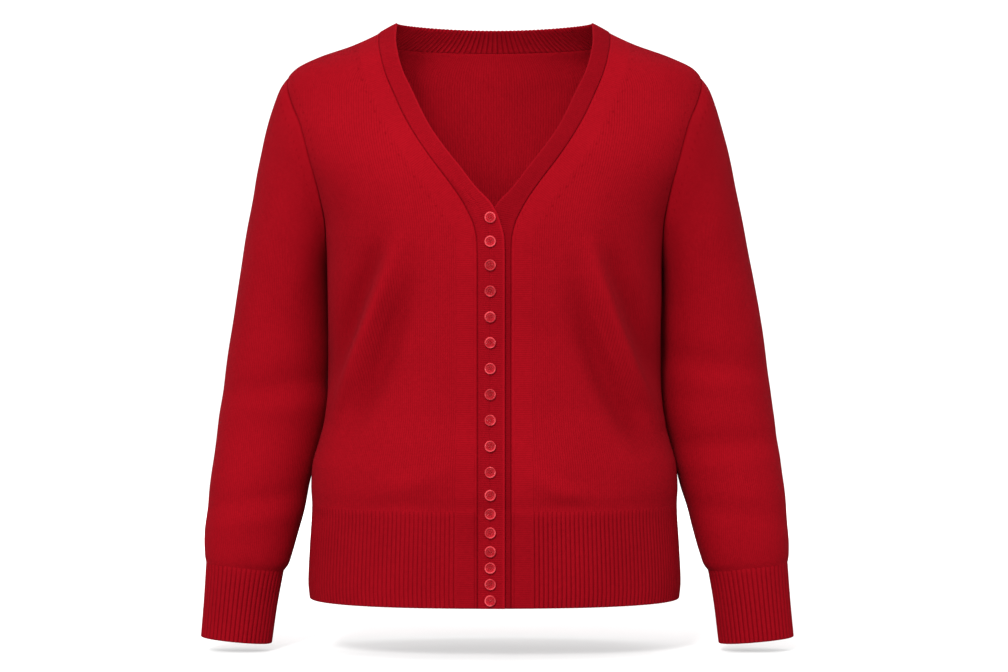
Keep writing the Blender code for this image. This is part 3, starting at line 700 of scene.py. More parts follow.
def hem_sides(base, turns):
    """Outer and inner points of a hem rib, round at its sides and at the hem."""
    levels = hem_levels()
    distance = np.minimum(edge_distance(base), levels - HEM_BOTTOM)
    relief = rib_relief(turns, levels, HEM_TOP)
    return wall_sides(base, torso_normals(base), relief, RIB_WALL, distance)


def make_hem_front(side_name, material):
    """Ribs from the side seam, and a plain strip between them and the band."""
    side = side_sign(side_name)
    strip_angle = float(torso_angle(PLAIN_STRIP_EDGE, HEM_TOP))
    seam_angle = hem_seam_angle()
    turns = rib_turns(FRONT_RIBS)
    ribbed = even_shares(0.0, strip_angle, turns / FRONT_RIBS, False)
    strip_width = PLAIN_STRIP_EDGE - float(band_seam(HEM_TOP))
    strip = edge_stations(0, strip_width, STRIP_COLUMNS, at_first=False, wall=RIB_WALL) / strip_width
    plain = even_shares(strip_angle, seam_angle, strip[1:], False)
    shares = np.concatenate([ribbed, plain]) / seam_angle
    levels = hem_levels()
    base = torso(side, shares[:, None] * torso_angle(band_seam(levels), levels), levels, False)
    phase = np.concatenate([turns, np.full(len(plain), float(FRONT_RIBS))])
    plain_turns = (plain - strip_angle) / (ribbed[RIB_STEPS] - ribbed[0])
    layouts = {"knit": rib_layout(np.concatenate([turns, FRONT_RIBS + plain_turns]), base),
               "band_edge": edge_layout(base, seam_line(side))}
    cloth_piece("hem_rib_front_" + side_name, "hem_front_" + side_name, material,
                hem_sides(base, phase), layouts)


def make_hem_back(material):
    turns = rib_turns(BACK_RIBS)
    arcs = turns / BACK_RIBS
    sides = np.where(arcs < 0.5, -1.0, 1.0)
    base = torso(sides[:, None], back_angles(arcs)[:, None], hem_levels(), True)
    cloth_piece("hem_rib_back", "hem_back", material,
                hem_sides(base, turns), {"knit": rib_layout(turns, base)})


def neck_point(angle, share):
    """A point of the back neck band: angle from right to left, share from its seam to its edge."""
    seam = SHOULDER_AT_BAND + (BACK_NECK_SEAM - SHOULDER_AT_BAND) * np.sin(angle)
    edge = BACK_NECK_EDGE * np.sin(angle) ** 3
    folded = np.minimum(angle, math.pi - angle)
    sides = np.where(angle < QUARTER, -1.0, 1.0)
    return torso(sides, folded, seam + (edge - seam) * share, True)


def make_neck_band(material):
    turns = rib_turns(NECK_RIBS)
    dense = np.linspace(0, math.pi, RING_STEPS)
    lengths = spread_out(neck_point(dense, 0.5))
    angle = np.interp(turns / NECK_RIBS * lengths[-1], lengths, dense)
    rows = edge_stations(0, NECK_BAND_WIDTH, NECK_ROWS, wall=RIB_WALL) / NECK_BAND_WIDTH
    base = neck_point(angle[:, None], rows)
    relief = RIB_RELIEF * rib_profile(turns)[:, None] * np.ones_like(rows)
    up = spread_up(base)
    distance = np.minimum(up, up[:, -1:] - up)
    sides = wall_sides(base, torso_normals(base), relief, RIB_WALL, distance, lift=BAND_PROUD)
    cloth_piece("neck_rib_back", "neck_band_back", material,
                sides, {"knit": rib_layout(turns, base)})


# --- Front bands ---
def overlap_share(height):
    """One where the bands lie on each other, nought on the open neckline."""
    return 1 - ease(height, OVERLAP_TOP, OVERLAP_TOP + CROSSING_RUN)


def band_base(side, levels, shares):
    """Points of a band on the torso, and their heights."""
    seam, edge = band_seam(levels), band_edge(levels)
    across = seam + (edge - seam) * shares
    heights = levels + (band_edge_height(levels) - levels) * shares
    return torso(side, torso_angle(across, heights), heights, False), heights


def band_lift(shares, heights, on_top):
    """How far the band's face stands off the torso."""
    crown = BAND_CROWN * 4 * shares * (1 - shares)
    lapped = BAND_WALL + BAND_CLEARANCE if on_top else -0.5 * BAND_CLEARANCE - UNDER_BAND_SUNK
    lap = overlap_share(heights) * ease(shares, 0.0, LAP_RUN)
    lift = crown + BAND_PROUD + lap * (lapped - BAND_PROUD)
    if on_top:
        lift = lift + BAND_LIP * overlap_share(heights) * ease(shares, LIP_START, 1.0)
    return lift


def make_band(side_name, on_top, material):
    """A band ribbed across, with smooth margins. The top one has a groove for the buttonholes."""
    side = side_sign(side_name)
    dense = np.linspace(HEM_BOTTOM, SHOULDER_AT_BAND, BAND_STEPS)
    lengths = spread_out(band_base(side, dense, 0.5)[0])
    ribs = round(lengths[-1] / BAND_RIB_PITCH)
    turns = np.linspace(0, ribs, ribs * BAND_RIB_STEPS + 1)
    run_rows = np.unique(np.concatenate([turns / ribs * lengths[-1], rim_steps(BAND_WALL)]))
    turns = run_rows / lengths[-1] * ribs
    levels = np.interp(run_rows, lengths, dense)
    stations = np.concatenate([
        edge_stations(0, BAND_WIDTH, BAND_COLUMNS, wall=BAND_WALL),
        BUTTONHOLE_LINE + np.array(BUTTONHOLE_STATIONS) * MM])
    stations = np.unique(np.round(stations, 9))
    shares = (stations / BAND_WIDTH)[:, None]
    base, heights = band_base(side, levels, shares)
    plain = ease(stations, *SEAM_MARGIN) * (1 - ease(stations, *EDGE_MARGIN))
    relief = BAND_RIB_RELIEF * rib_profile(turns) * plain[:, None]
    if on_top:
        groove = np.exp(-(((stations - BUTTONHOLE_LINE) / GROOVE_SPREAD) ** 2))[:, None]
        relief = relief - GROOVE_DEPTH * groove * overlap_share(heights)
    relief += soft_noise(base, *BAND_SWELL)
    distance = np.minimum(np.minimum(stations, BAND_WIDTH - stations)[:, None], run_rows)
    sides = wall_sides(base, torso_normals(base), relief, BAND_WALL, distance,
                       lift=band_lift(shares, heights, on_top))
    flat = np.stack(np.broadcast_arrays(stations[:, None], run_rows), axis=-1)
    cloth_piece("band_rib_" + side_name, "band_" + side_name, material, sides, {"knit": flat})


# --- Sleeves and cuffs ---
def ring_curves(rows):
    """The columns of a ring table as curves over the ring's number."""
    numbers = range(len(rows))
    return [smooth_curve(numbers, [row[column] * MM for row in rows]) for column in range(6)]


def ring_points(side, curves, number, angles):
    """A ring of a sleeve, from its outermost point round the front, and its middle."""
    outer_x, outer_z, inner_x, inner_z, half_depth, behind = (float(curve(number)) for curve in curves)
    if side > 0:
        outer_x += float(swing_outer(outer_z))
        inner_x += float(swing_inner(inner_z))
    outer = np.array([side * outer_x, 0.0, outer_z])
    inner = np.array([side * inner_x, 0.0, inner_z])
    across, along, reach = rounded_square(angles, SLEEVE_SQUARENESS)
    middle = 0.5 * (outer + inner) + np.array([0.0, behind, 0.0])
    points = middle + 0.5 * (outer - inner) * (across / reach)[:, None]
    points[:, 1] -= half_depth * along / reach
    return points, middle


def armhole_ring(side, angles):
    """The armhole's seam, from the shoulder round the front."""
    levels = 0.5 * (SHOULDER_TIP + ARMPIT) + 0.5 * (SHOULDER_TIP - ARMPIT) * np.cos(angles)
    turn = torso_angle(armhole_across(levels), levels)
    ahead = torso(side, turn, levels, False)
    behind = torso(side, turn, levels, True)
    return np.where((np.sin(angles) >= 0)[:, None], ahead, behind)


def sleeve_creases(side, points, middle, angles):
    """Creases across the sleeve, outwards from its middle."""
    out = points - middle
    out /= np.linalg.norm(out, axis=-1, keepdims=True)
    total = np.zeros(len(points))
    for fold_side, height, slant, around, reach, spread, relief in SLEEVE_FOLDS:
        if fold_side == side:
            apart = (np.degrees(angles) - around + 180) % 360 - 180
            level = (points[:, 2] / MM - height - slant * apart) / spread
            total += relief * np.exp(-0.5 * level**2 - 0.5 * (apart / reach) ** 2)
    return out * (total * MM)[:, None]


def even_ring(points, shares):
    """The same ring with its points at even shares of its length, and that length."""
    lengths = spread_out(points)
    targets = shares * lengths[-1]
    return np.stack([np.interp(targets, lengths, points[:, axis]) for axis in range(3)], axis=-1), lengths[-1]


def wrapped_normals(base, middles):
    """Normals of a tube whose first and last columns are the same line."""
    padded = np.concatenate([base[-2:-1], base, base[1:2]], axis=0)
    return outward_normals(padded, middles[None])[1:-1]


def wrapped_noise(base, scale, depth):
    """Swell of a tube whose first and last columns are the same line."""
    values = soft_noise(base, scale, depth)
    values[-1] = values[0]
    return values


def make_sleeve(side_name, material):
    """A tube from the cuff to the armhole, whose first rings bend over to the armhole's seam."""
    side = side_sign(side_name)
    curves = ring_curves(SLEEVE)
    stray = armhole_ring(side, ALL_ROUND) - ring_points(side, curves, 0, ALL_ROUND)[0]
    numbers = np.linspace(0, len(SLEEVE) - 1, SLEEVE_STEPS)
    ends = np.array([0.0, math.pi])
    outline = np.array([ring_points(side, curves, number, ends)[0].mean(axis=0) for number in numbers])
    lengths = spread_out(outline)
    stations = edge_stations(0, lengths[-1], SLEEVE_ROWS, at_last=False)
    shares = np.linspace(0, 1, SLEEVE_COLUMNS + 1)
    rings, girths, middles = [], [], []
    for number in np.interp(stations, lengths, numbers)[::-1]:
        points, middle = ring_points(side, curves, number, ALL_ROUND)
        left = max(1 - number / CAP_BLEND_RINGS, 0.0) ** 2
        points = points + stray * left
        points = points + sleeve_creases(side, points, middle, ALL_ROUND) * min(number / 2, 1.0)
        points, girth = even_ring(points, shares)
        rings.append(points)
        girths.append(girth)
        middles.append(middle)
    base = np.array(rings).transpose(1, 0, 2)
    normals = wrapped_normals(base, np.array(middles))
    fade = ease(stations[::-1], 0, SLEEVE_FADE)
    relief = wrapped_noise(base, *SLEEVE_SWELL) * fade
    distance = np.broadcast_to(stations[::-1], relief.shape)
    along = shares[:, None] * girths[-1] + np.zeros_like(distance)
    layouts = {"knit": flat_layout((shares - 0.5)[:, None] * np.array(girths), base),
               "armhole": np.stack([distance, along], axis=-1)}
    cloth_piece("sleeve_knit_" + side_name, "sleeve_" + side_name, material,
                wall_sides(base, normals, relief, KNIT_WALL, distance), layouts, closed=True)


def make_cuff(side_name, material):
    """A ribbed tube from its free edge up to the sleeve, with a last row under it."""
    side = side_sign(side_name)
    curves = ring_curves(CUFF)
    turns = rib_turns(CUFF_RIBS)
    stations = rib_rows(0.0, CUFF_LENGTH)
    rings, middles = [], []
    for station in stations:
        number = (len(CUFF) - 1) * (1 - station / CUFF_LENGTH)
        points, middle = ring_points(side, curves, number, ALL_ROUND)
        rings.append(even_ring(points, turns / CUFF_RIBS)[0])
        middles.append(middle)
    base = np.array(rings).transpose(1, 0, 2)
    up = base[:, -1:] - base[:, -2:-1]
    last_row = base[:, -1:] + up / np.linalg.norm(up, axis=-1, keepdims=True) * RIB_UNDERLAP
    base = np.concatenate([base, last_row], axis=1)
    middles.append(middles[-1])
    stations = np.append(stations, CUFF_LENGTH + RIB_UNDERLAP)
    normals = wrapped_normals(base, np.array(middles))
    relief = rib_relief(turns, stations, CUFF_LENGTH)
    distance = np.broadcast_to(stations, relief.shape)
    cloth_piece("cuff_rib_" + side_name, "cuff_" + side_name, material,
                wall_sides(base, normals, relief, RIB_WALL, distance),
                {"knit": rib_layout(turns, base)}, closed=True)


# --- Buttons ---
BUTTON_ACROSS = -4.0 * MM
FIRST_BUTTON = -199.5 * MM
BUTTON_PITCHES = ((2, 23.6), (8, 25.9), (1, 23.0), (3, 18.9), (3, 16.4))
BUTTON_SIDES = 40
BUTTON_GAP = 0.1 * MM
BUTTON_TILT = 2.5
BUTTON_TURN = 37.0
# Half section of a button in millimetres, from the rim of its well outwards and
# round to the rim of the well at its back.
BUTTON_SECTION = (
    (2.05, 1.15), (2.25, 1.5), (2.55, 1.62), (2.85, 1.55), (3.2, 1.42), (3.7, 1.45), (4.0, 1.75),
    (4.3, 2.2), (4.7, 2.45), (5.1, 2.45), (5.5, 2.2), (5.75, 1.75), (5.8, 1.3), (5.6, 0.8), (5.1, 0.4),
    (4.2, 0.12), (3.0, 0.0), (2.05, 0.0),
)
WELL_FLOOR = BUTTON_SECTION[0][1] * MM
HOLE_RADIUS = 0.5 * MM
HOLE_OUT = 0.85 * MM
HOLE_SIDES = 12
SEAT_REACH = 4 * MM
SEAT_RISE = 5 * MM
THREAD_RADIUS = 0.3 * MM
THREAD_SIDES = 6
THREAD_STEPS = 8
THREAD_RISE = 0.55 * MM
THREAD_SUNK = 0.25 * MM
DIAGONAL = 1.414
HALF_DIAGONAL = 0.7071


def button_heights():
    heights = [FIRST_BUTTON]
    for count, pitch in BUTTON_PITCHES:
        for _ in range(count):
            heights.append(heights[-1] - pitch * MM)
    return heights


def band_share(across, levels):
    """Share of the right band's width, from its seam, that lies at this X."""
    return (band_seam(levels) + across) / (band_seam(levels) - band_edge(levels))


def band_seat(height):
    """Point of the top band's face under a button, and its outward direction."""
    level = height
    for _ in range(4):
        level += height - float(band_base(-1, level, band_share(BUTTON_ACROSS, level))[1])
    seam_levels = np.array([level - SEAT_RISE, level, level + SEAT_RISE])
    faces = []
    for across in (BUTTON_ACROSS - SEAT_REACH, BUTTON_ACROSS, BUTTON_ACROSS + SEAT_REACH):
        shares = band_share(across, seam_levels)
        base, heights = band_base(-1, seam_levels, shares)
        base[:, 1] -= band_lift(shares, heights, True)
        faces.append(base)
    right_to_left = faces[2][1] - faces[0][1]
    upward = faces[1][2] - faces[1][0]
    return Vector(faces[1][1]), Vector(np.cross(right_to_left, upward)).normalized()


def button_place(number, height):
    """Where a button lies: on the band, turned and tilted a little, each its own way."""
    point, outward = band_seat(height)
    tilt = BUTTON_TILT * noise.noise(Vector((number * 1.7, 0.3, 0.0)))
    turn = outward.to_track_quat("Z", "Y").to_matrix().to_4x4()
    lean = rotation(tilt, "X") @ rotation(0.8 * tilt + 1.0, "Y")
    seat = Matrix.Translation(point + outward * BUTTON_GAP)
    return seat @ turn @ lean @ rotation(BUTTON_TURN * number, "Z")


def rotation(degrees, axis):
    return Matrix.Rotation(math.radians(degrees), 4, axis)


def ring_of_edges(bm, radius, height, sides, middle):
    """A circle of edges about a point."""
    made = bmesh.ops.create_circle(bm, cap_ends=False, radius=radius, segments=sides)
    bmesh.ops.translate(bm, verts=made["verts"], vec=(middle[0], middle[1], height))
    corners = set(made["verts"])
    return [edge for edge in bm.edges if set(edge.verts) <= corners]


def make_button(number, height, material, thread):
    """A moulded button with a round rim, a dished face and a sewn well with four holes."""
    bm = bmesh.new()
    section = [bm.verts.new((radius * MM, 0.0, rise * MM)) for radius, rise in BUTTON_SECTION]
    edges = [bm.edges.new(pair) for pair in zip(section, section[1:])]
    bmesh.ops.spin(bm, geom=section + edges, axis=(0.0, 0.0, 1.0), cent=(0.0, 0.0, 0.0),
                   steps=BUTTON_SIDES, angle=2 * math.pi, use_merge=True)
    bmesh.ops.remove_doubles(bm, verts=bm.verts[:], dist=0.005 * MM)
    borders = [edge for edge in bm.edges if edge.is_boundary]
    spots = [(x * HOLE_OUT, y * HOLE_OUT) for x in (-1, 1) for y in (-1, 1)]
    floors = []
    for level in (WELL_FLOOR, 0.0):
        rim = [edge for edge in borders if abs(edge.verts[0].co.z - level) < 0.01 * MM]
        holes = [ring_of_edges(bm, HOLE_RADIUS, level, HOLE_SIDES, spot) for spot in spots]
        bmesh.ops.triangle_fill(bm, use_beauty=True, use_dissolve=False,
                                edges=rim + [edge for hole in holes for edge in hole])
        floors.append(holes)
    for top, bottom in zip(*floors):
        bmesh.ops.bridge_loops(bm, edges=top + bottom)
    bmesh.ops.recalc_face_normals(bm, faces=bm.faces[:])
    disc = bm.loops.layers.uv.new("disc")
    for face in bm.faces:
        for loop in face.loops:
            loop[disc].uv = (math.hypot(loop.vert.co.x, loop.vert.co.y), loop.vert.co.z)
    place = button_place(number, height)
    bmesh.ops.transform(bm, matrix=place, verts=bm.verts[:])
    finish_piece(f"button_face_{number:02d}", bm, material, f"button_{number:02d}", sharp=50)
    sew_button(number, place, thread)


def sew_button(number, place, thread):
    """Two stitches of thread across the well of a button, from hole to hole."""
    bm = bmesh.new()
    for way in (-1, 1):
        arch = []
        for step in range(THREAD_STEPS + 1):
            turn = math.pi * step / THREAD_STEPS
            reach = -math.cos(turn) * HOLE_OUT * DIAGONAL
            rise = WELL_FLOOR + math.sin(turn) * THREAD_RISE - THREAD_SUNK
            arch.append(Vector((reach * HALF_DIAGONAL, way * reach * HALF_DIAGONAL, rise)))
        strand = bmesh.ops.create_circle(bm, cap_ends=True, radius=THREAD_RADIUS, segments=THREAD_SIDES)
        bmesh.ops.translate(bm, verts=strand["verts"], vec=arch[0])
        cap = [face for face in bm.faces if set(face.verts) == set(strand["verts"])]
        for before, after in zip(arch, arch[1:]):
            made = bmesh.ops.extrude_face_region(bm, geom=cap)
            moved = [item for item in made["geom"] if isinstance(item, bmesh.types.BMVert)]
            bmesh.ops.translate(bm, verts=moved, vec=after - before)
            bmesh.ops.delete(bm, geom=cap, context="FACES_ONLY")
            cap = [item for item in made["geom"] if isinstance(item, bmesh.types.BMFace)]
    bmesh.ops.recalc_face_normals(bm, faces=bm.faces[:])
    bmesh.ops.transform(bm, matrix=place, verts=bm.verts[:])
    finish_piece(f"button_thread_{number:02d}", bm, thread)


# --- Colours and finishes ---
WOOL = (0.285, 0.0066, 0.0145, 1.0)
# The wool's dark end: where the tone is lower, and painted shade in the stitches' grooves, at seams and in fold
# troughs.
WOOL_DARK_TONE_AND_SHADE = (0.135, 0.0022, 0.0056, 1.0)
# The ribs' wool: the same wool painted darker, as shade in the grooves of the ribs; then its dark end, as for
# the wool.
SHADED_RIB_WOOL = (0.255, 0.0058, 0.0130, 1.0)
RIB_DARK_TONE_AND_SHADE = (0.105, 0.0017, 0.0045, 1.0)
# The under band's wool, painted darker as the shadow that the top band casts on it.
UNDER_BAND_SHADOWED = (0.205, 0.0046, 0.0105, 1.0)
BUTTON_DARK = (0.23, 0.004, 0.010, 1.0)
BUTTON_FACE = (0.32, 0.007, 0.017, 1.0)
# The rim's pale pink, a painted highlight.
BUTTON_RIM_HIGHLIGHT = (0.50, 0.055, 0.068, 1.0)
THREAD_DARK = (0.16, 0.002, 0.006, 1.0)
THREAD = (0.34, 0.006, 0.014, 1.0)
FLOOR_DARK = (0.47, 0.47, 0.47, 1.0)
FLOOR_PALE = (0.49, 0.49, 0.49, 1.0)
WOOL_SHEEN = (1.0, 0.12, 0.17, 1.0)
WOOL_GLINT = (1.0, 0.35, 0.4, 1.0)
FLOOR_GLOW = 0.43

WALE = 2.2 * MM
COURSE = 1.6 * MM
RIB_COURSE = 1.7 * MM
# Where each look beside a seam begins and ends, as distances from the seam, and how dark the painted shade along
# a seam is; a band's free edge gets a painted highlight. The painted shade in the fold troughs goes by the
# relief of the folds.
SMOOTH_AT_BAND = (2.0 * MM, 3.2 * MM)
STRIP_BEGINS = (3.0 * MM, 4.5 * MM)
STRIP_ENDS = (20 * MM, 21.5 * MM)
BAND_SEAM_PAINTED_SHADE = (0.2 * MM, 1.6 * MM, 0.3)
ARMHOLE_PAINTED_SHADE = (0.2 * MM, 1.8 * MM, 0.35)
BAND_MARGIN_PAINTED_SHADE = (0.2 * MM, 1.4 * MM, 0.25)
BAND_EDGE_PAINTED_HIGHLIGHT = (24.6 * MM, 26.0 * MM, 0.0, -0.35)
FOLD_PAINTED_SHADE = (-8.0 * MM, 0.0, 0.24)
# Rows of narrowing marks: distance from the seam and pitch. The neck's begin this
# far up the band's seam.
ARMHOLE_MARKS = (9 * MM, 9.5 * MM)
NECK_MARKS = (25 * MM, 13 * MM)
NECK_BEGINS = (0.40, 0.41)
MARK_ACROSS = (0.5 * MM, 1.3 * MM)
MARK_ALONG = (0.07, 0.15)
MARK_DEPTH = 0.7
# Heights of the knit: cross ribs (relief and floor) on a band and on the strip
# beside it, the smooth margin, and the stitches' share of a band; then the groove
# between wales, the slant of the stitches and the depth of the whole.
BAND_RIBS = (0.55, 0.36)
STRIP_RIBS = (0.5, 0.28)
SMOOTH_HEIGHT = 0.7
BAND_STITCHES = 0.35
WALE_GROOVE = 0.22
STITCH_LEAN = 0.75
KNIT_BUMP = 0.35 * MM
# Shares of stitches and fuzz in the bump, and of stitches, tone and yarn in the colour's blend, where the
# stitches' share is painted shade in their grooves.
BUMP_WEIGHTS = (0.75, 0.5)
SHADE_WEIGHTS = (0.62, 0.28, 0.3)
SHADE_SHIFT = -0.06
# Speckles: scale, detail and roughness.
FUZZ = (1500.0, 3.0, 0.65)
TONE = (16.0, 3.0, 0.5)
YARN = (260.0, 2.0, 0.6)
SWIRL = (420.0, 4.0, 0.6)
CLOUD = (90.0, 2.0, 0.5)
TWIST = (2600.0, 2.0, 0.6)
GRAIN = (30.0, 2.0, 0.5)
# Roughness: where a speckle's range begins and ends, and the roughness there.
WOOL_ROUGH = (0.2, 0.8, 0.82, 0.98)
BUTTON_ROUGH = (0.3, 0.7, 0.16, 0.26)
THREAD_ROUGH = (0.2, 0.8, 0.6, 0.8)
FLOOR_ROUGH = (0.3, 0.7, 0.9, 0.96)
# A button's painted highlight on its rim: from where to where the rim grows paler, and the clouds that break it
# up.
BUTTON_HIGHLIGHT_AT = (3.7 * MM, 4.7 * MM)
BUTTON_HIGHLIGHT_CLOUDS = (0.42, 0.6, 0.3, 1.0)


class Wiring:
    """Nodes of one tree, wired by short calls."""

    def __init__(self, tree):
        self.tree = tree

    def node(self, kind, **settings):
        made = self.tree.nodes.new(kind)
        for key, value in settings.items():
            setattr(made, key, value)
        return made

    def feed(self, socket, value):
        if isinstance(value, bpy.types.NodeSocket):
            self.tree.links.new(value, socket)
        else:
            socket.default_value = value

    def calc(self, operation, *values, clamp=False):
        made = self.node("ShaderNodeMath", operation=operation, use_clamp=clamp)
        for socket, value in zip(made.inputs, values):
            self.feed(socket, value)
        return made.outputs[0]

    def plus(self, first, second, clamp=False):
        return self.calc("ADD", first, second, clamp=clamp)

    def minus(self, first, second):
        return self.calc("SUBTRACT", first, second)

    def times(self, first, second):
        return self.calc("MULTIPLY", first, second)

    def off_middle(self, value, pitch):
        """How far each place is from the middle of its pitch, in pitches."""
        return self.calc("ABSOLUTE", self.minus(self.calc("FRACT", self.calc("DIVIDE", value, pitch)), 0.5))

    def weighed(self, values, weights):
        """Sum of values, each times its weight."""
        total, *others = (self.times(value, weight) for value, weight in zip(values, weights))
        for part in others:
            total = self.plus(total, part)
        return total

    def mix(self, share, low, high):
        """Between two heights."""
        return self.plus(self.times(low, self.minus(1.0, share)), self.times(high, share))

    def blend(self, share, low, high):
        """Between two colours."""
        made = self.node("ShaderNodeMix", data_type="RGBA")
        self.feed(made.inputs["Factor"], share)
        self.feed(made.inputs["A"], low)
        self.feed(made.inputs["B"], high)
        return made.outputs["Result"]

    def ramp(self, value, start, end, low=0.0, high=1.0):
        made = self.node("ShaderNodeMapRange", interpolation_type="SMOOTHSTEP")
        for socket, item in zip(made.inputs, (value, start, end, low, high)):
            self.feed(socket, item)
        return made.outputs[0]

    def fall(self, value, start, end, high=1.0):
        """From high to nought between start and end."""
        return self.ramp(value, start, end, high, 0.0)


class Finish(Wiring):
    """A material made of nodes."""

    def __init__(self, name):
        self.material = bpy.data.materials.new(name)
        self.material.use_nodes = True
        super().__init__(self.material.node_tree)
        self.shader = self.tree.nodes["Principled BSDF"]

    def layout(self, title):
        """Across and up sockets of one of the piece's flat layouts, in metres."""
        uv = self.node("ShaderNodeUVMap", uv_map=title)
        split = self.node("ShaderNodeSeparateXYZ")
        self.feed(split.inputs[0], uv.outputs[0])
        return split.outputs[0], split.outputs[1]

    def speckle(self, scale, detail, roughness):
        """Noise over the piece's own place, from nought to one."""
        place = self.node("ShaderNodeTexCoord")
        made = self.node("ShaderNodeTexNoise")
        self.feed(made.inputs["Vector"], place.outputs["Object"])
        for key, value in (("Scale", scale), ("Detail", detail), ("Roughness", roughness)):
            made.inputs[key].default_value = value
        return made.outputs["Fac"]

    def surface(self, colour, roughness, **constants):
        """Set the shader's colour, its roughness and what is the same all over."""
        self.feed(self.shader.inputs["Base Color"], colour)
        self.feed(self.shader.inputs["Roughness"], roughness)
        for key, value in constants.items():
            self.shader.inputs[key.replace("_", " ")].default_value = value

    def bump(self, height, depth, strength):
        made = self.node("ShaderNodeBump")
        made.inputs["Strength"].default_value = strength
        made.inputs["Distance"].default_value = depth
        self.feed(made.inputs["Height"], height)
        self.feed(self.shader.inputs["Normal"], made.outputs["Normal"])


def knit_stitches(finish, across, up, wale, course, centre_groove):
    """Height of rows of V-shaped stitches, from nought to one."""
    out = finish.times(finish.off_middle(across, wale), 2.0)
    rim = finish.minus(1.0, finish.calc("POWER", out, 4.0))
    middle = finish.ramp(out, 0.0, WALE_GROOVE, 1.0 - centre_groove, 1.0)
    leaning = finish.plus(finish.calc("DIVIDE", up, course), finish.times(out, STITCH_LEAN))
    wave = finish.calc("ABSOLUTE", finish.calc("SINE", finish.times(leaning, math.pi)))
    stitch = finish.plus(0.5, finish.times(wave, 0.5))
    return finish.times(finish.times(rim, middle), stitch)


def cross_ribs(finish, up, relief, floor):
    """Height of fine ribs that run across, from floor up by relief."""
    turned = finish.times(finish.calc("DIVIDE", up, BAND_RIB_PITCH), math.pi)
    ribs = finish.calc("POWER", finish.calc("ABSOLUTE", finish.calc("COSINE", turned)), RIB_POWER)
    return finish.plus(finish.times(ribs, relief), floor)


def row_of_marks(finish, title, distance, pitch):
    """Small dimples in a row beside a seam, where stitches were narrowed away."""
    off, along = finish.layout(title)
    apart = finish.calc("ABSOLUTE", finish.minus(off, distance))
    near = finish.fall(apart, *MARK_ACROSS)
    return finish.times(near, finish.fall(finish.off_middle(along, pitch), *MARK_ALONG))


def knit_height(finish, wale, course, centre_groove, cross, band_edge):
    """Height of the knit, with its cross ribs and its smooth margin at a band."""
    across, up = finish.layout("knit")
    if cross:
        ribs = cross_ribs(finish, up, *BAND_RIBS)
        height = finish.mix(BAND_STITCHES, ribs, knit_stitches(finish, up, across, wale, course, centre_groove))
    else:
        height = knit_stitches(finish, across, up, wale, course, centre_groove)
    if band_edge:
        off, along = finish.layout("band_edge")
        inside = finish.times(finish.ramp(off, *STRIP_BEGINS), finish.fall(off, *STRIP_ENDS))
        height = finish.mix(inside, height, cross_ribs(finish, along, *STRIP_RIBS))
        height = finish.mix(finish.fall(off, *SMOOTH_AT_BAND), height, SMOOTH_HEIGHT)
    return height


def painted_knit_shading(finish, cross, band_edge, armhole):
    """Painted shade on the knit's colour: along its seams and in the troughs of the front folds, and a painted
    highlight on a band's free edge.
    """
    # Each of these is painted light taken off the colour: shade along the seams, at a band's seam side and in
    # the front folds' troughs; the one at a band's free edge is negative, a painted highlight.
    painted_shading = []
    if band_edge:
        painted_shading.append(finish.fall(finish.layout("band_edge")[0], *BAND_SEAM_PAINTED_SHADE))
    if armhole:
        painted_shading.append(finish.fall(finish.layout("armhole")[0], *ARMHOLE_PAINTED_SHADE))
    if cross:
        across = finish.layout("knit")[0]
        painted_shading.append(finish.fall(across, *BAND_MARGIN_PAINTED_SHADE))
        # Lighter at a band's free edge: a painted highlight on its round lip.
        painted_shading.append(finish.ramp(across, *BAND_EDGE_PAINTED_HIGHLIGHT))
    if band_edge and armhole:
        painted_shading.append(finish.fall(finish.layout("fold")[0], *FOLD_PAINTED_SHADE))
    return painted_shading


def knit_marks(finish, band_edge):
    """Narrowing marks beside the armhole and, on a front, beside the neck."""
    marks = row_of_marks(finish, "armhole", *ARMHOLE_MARKS)
    if band_edge:
        on_neck = finish.ramp(finish.layout("band_edge")[1], *NECK_BEGINS)
        neck_marks = finish.times(row_of_marks(finish, "band_edge", *NECK_MARKS), on_neck)
        marks = finish.calc("MAXIMUM", marks, neck_marks)
    return marks


def knit_finish(name, base, dark_tone_and_shade, wale, course, centre_groove=0.2, cross=False, band_edge=False, armhole=False):
    """Soft knitted yarn: stitches, fuzz and slight changes of tone, with painted shade in the stitches' grooves,
    at seams and in fold troughs, and a painted highlight on a band's free edge.
    """
    finish = Finish(name)
    height = knit_height(finish, wale, course, centre_groove, cross, band_edge)
    painted_shading = painted_knit_shading(finish, cross, band_edge, armhole)
    if armhole:
        marks = finish.times(knit_marks(finish, band_edge), MARK_DEPTH)
        height = finish.times(height, finish.minus(1.0, marks))
    fuzz = finish.speckle(*FUZZ)
    tone = finish.speckle(*TONE)
    yarn = finish.speckle(*YARN)
    # The colour goes to its dark end by tone and yarn, and by the stitches' height as painted shade in their
    # grooves.
    tone_and_painted_light = finish.weighed((height, tone, yarn), SHADE_WEIGHTS)
    for painted_mark in painted_shading:
        tone_and_painted_light = finish.minus(tone_and_painted_light, painted_mark)
    tone_and_painted_light = finish.plus(tone_and_painted_light, SHADE_SHIFT, clamp=True)
    finish.surface(finish.blend(tone_and_painted_light, dark_tone_and_shade, base), finish.ramp(fuzz, *WOOL_ROUGH),
                   Specular_IOR_Level=0.05, Specular_Tint=WOOL_GLINT,
                   Sheen_Weight=0.07, Sheen_Roughness=0.4, Sheen_Tint=WOOL_SHEEN)
    finish.bump(finish.weighed((height, fuzz), BUMP_WEIGHTS), KNIT_BUMP, 0.9)
    return finish.material


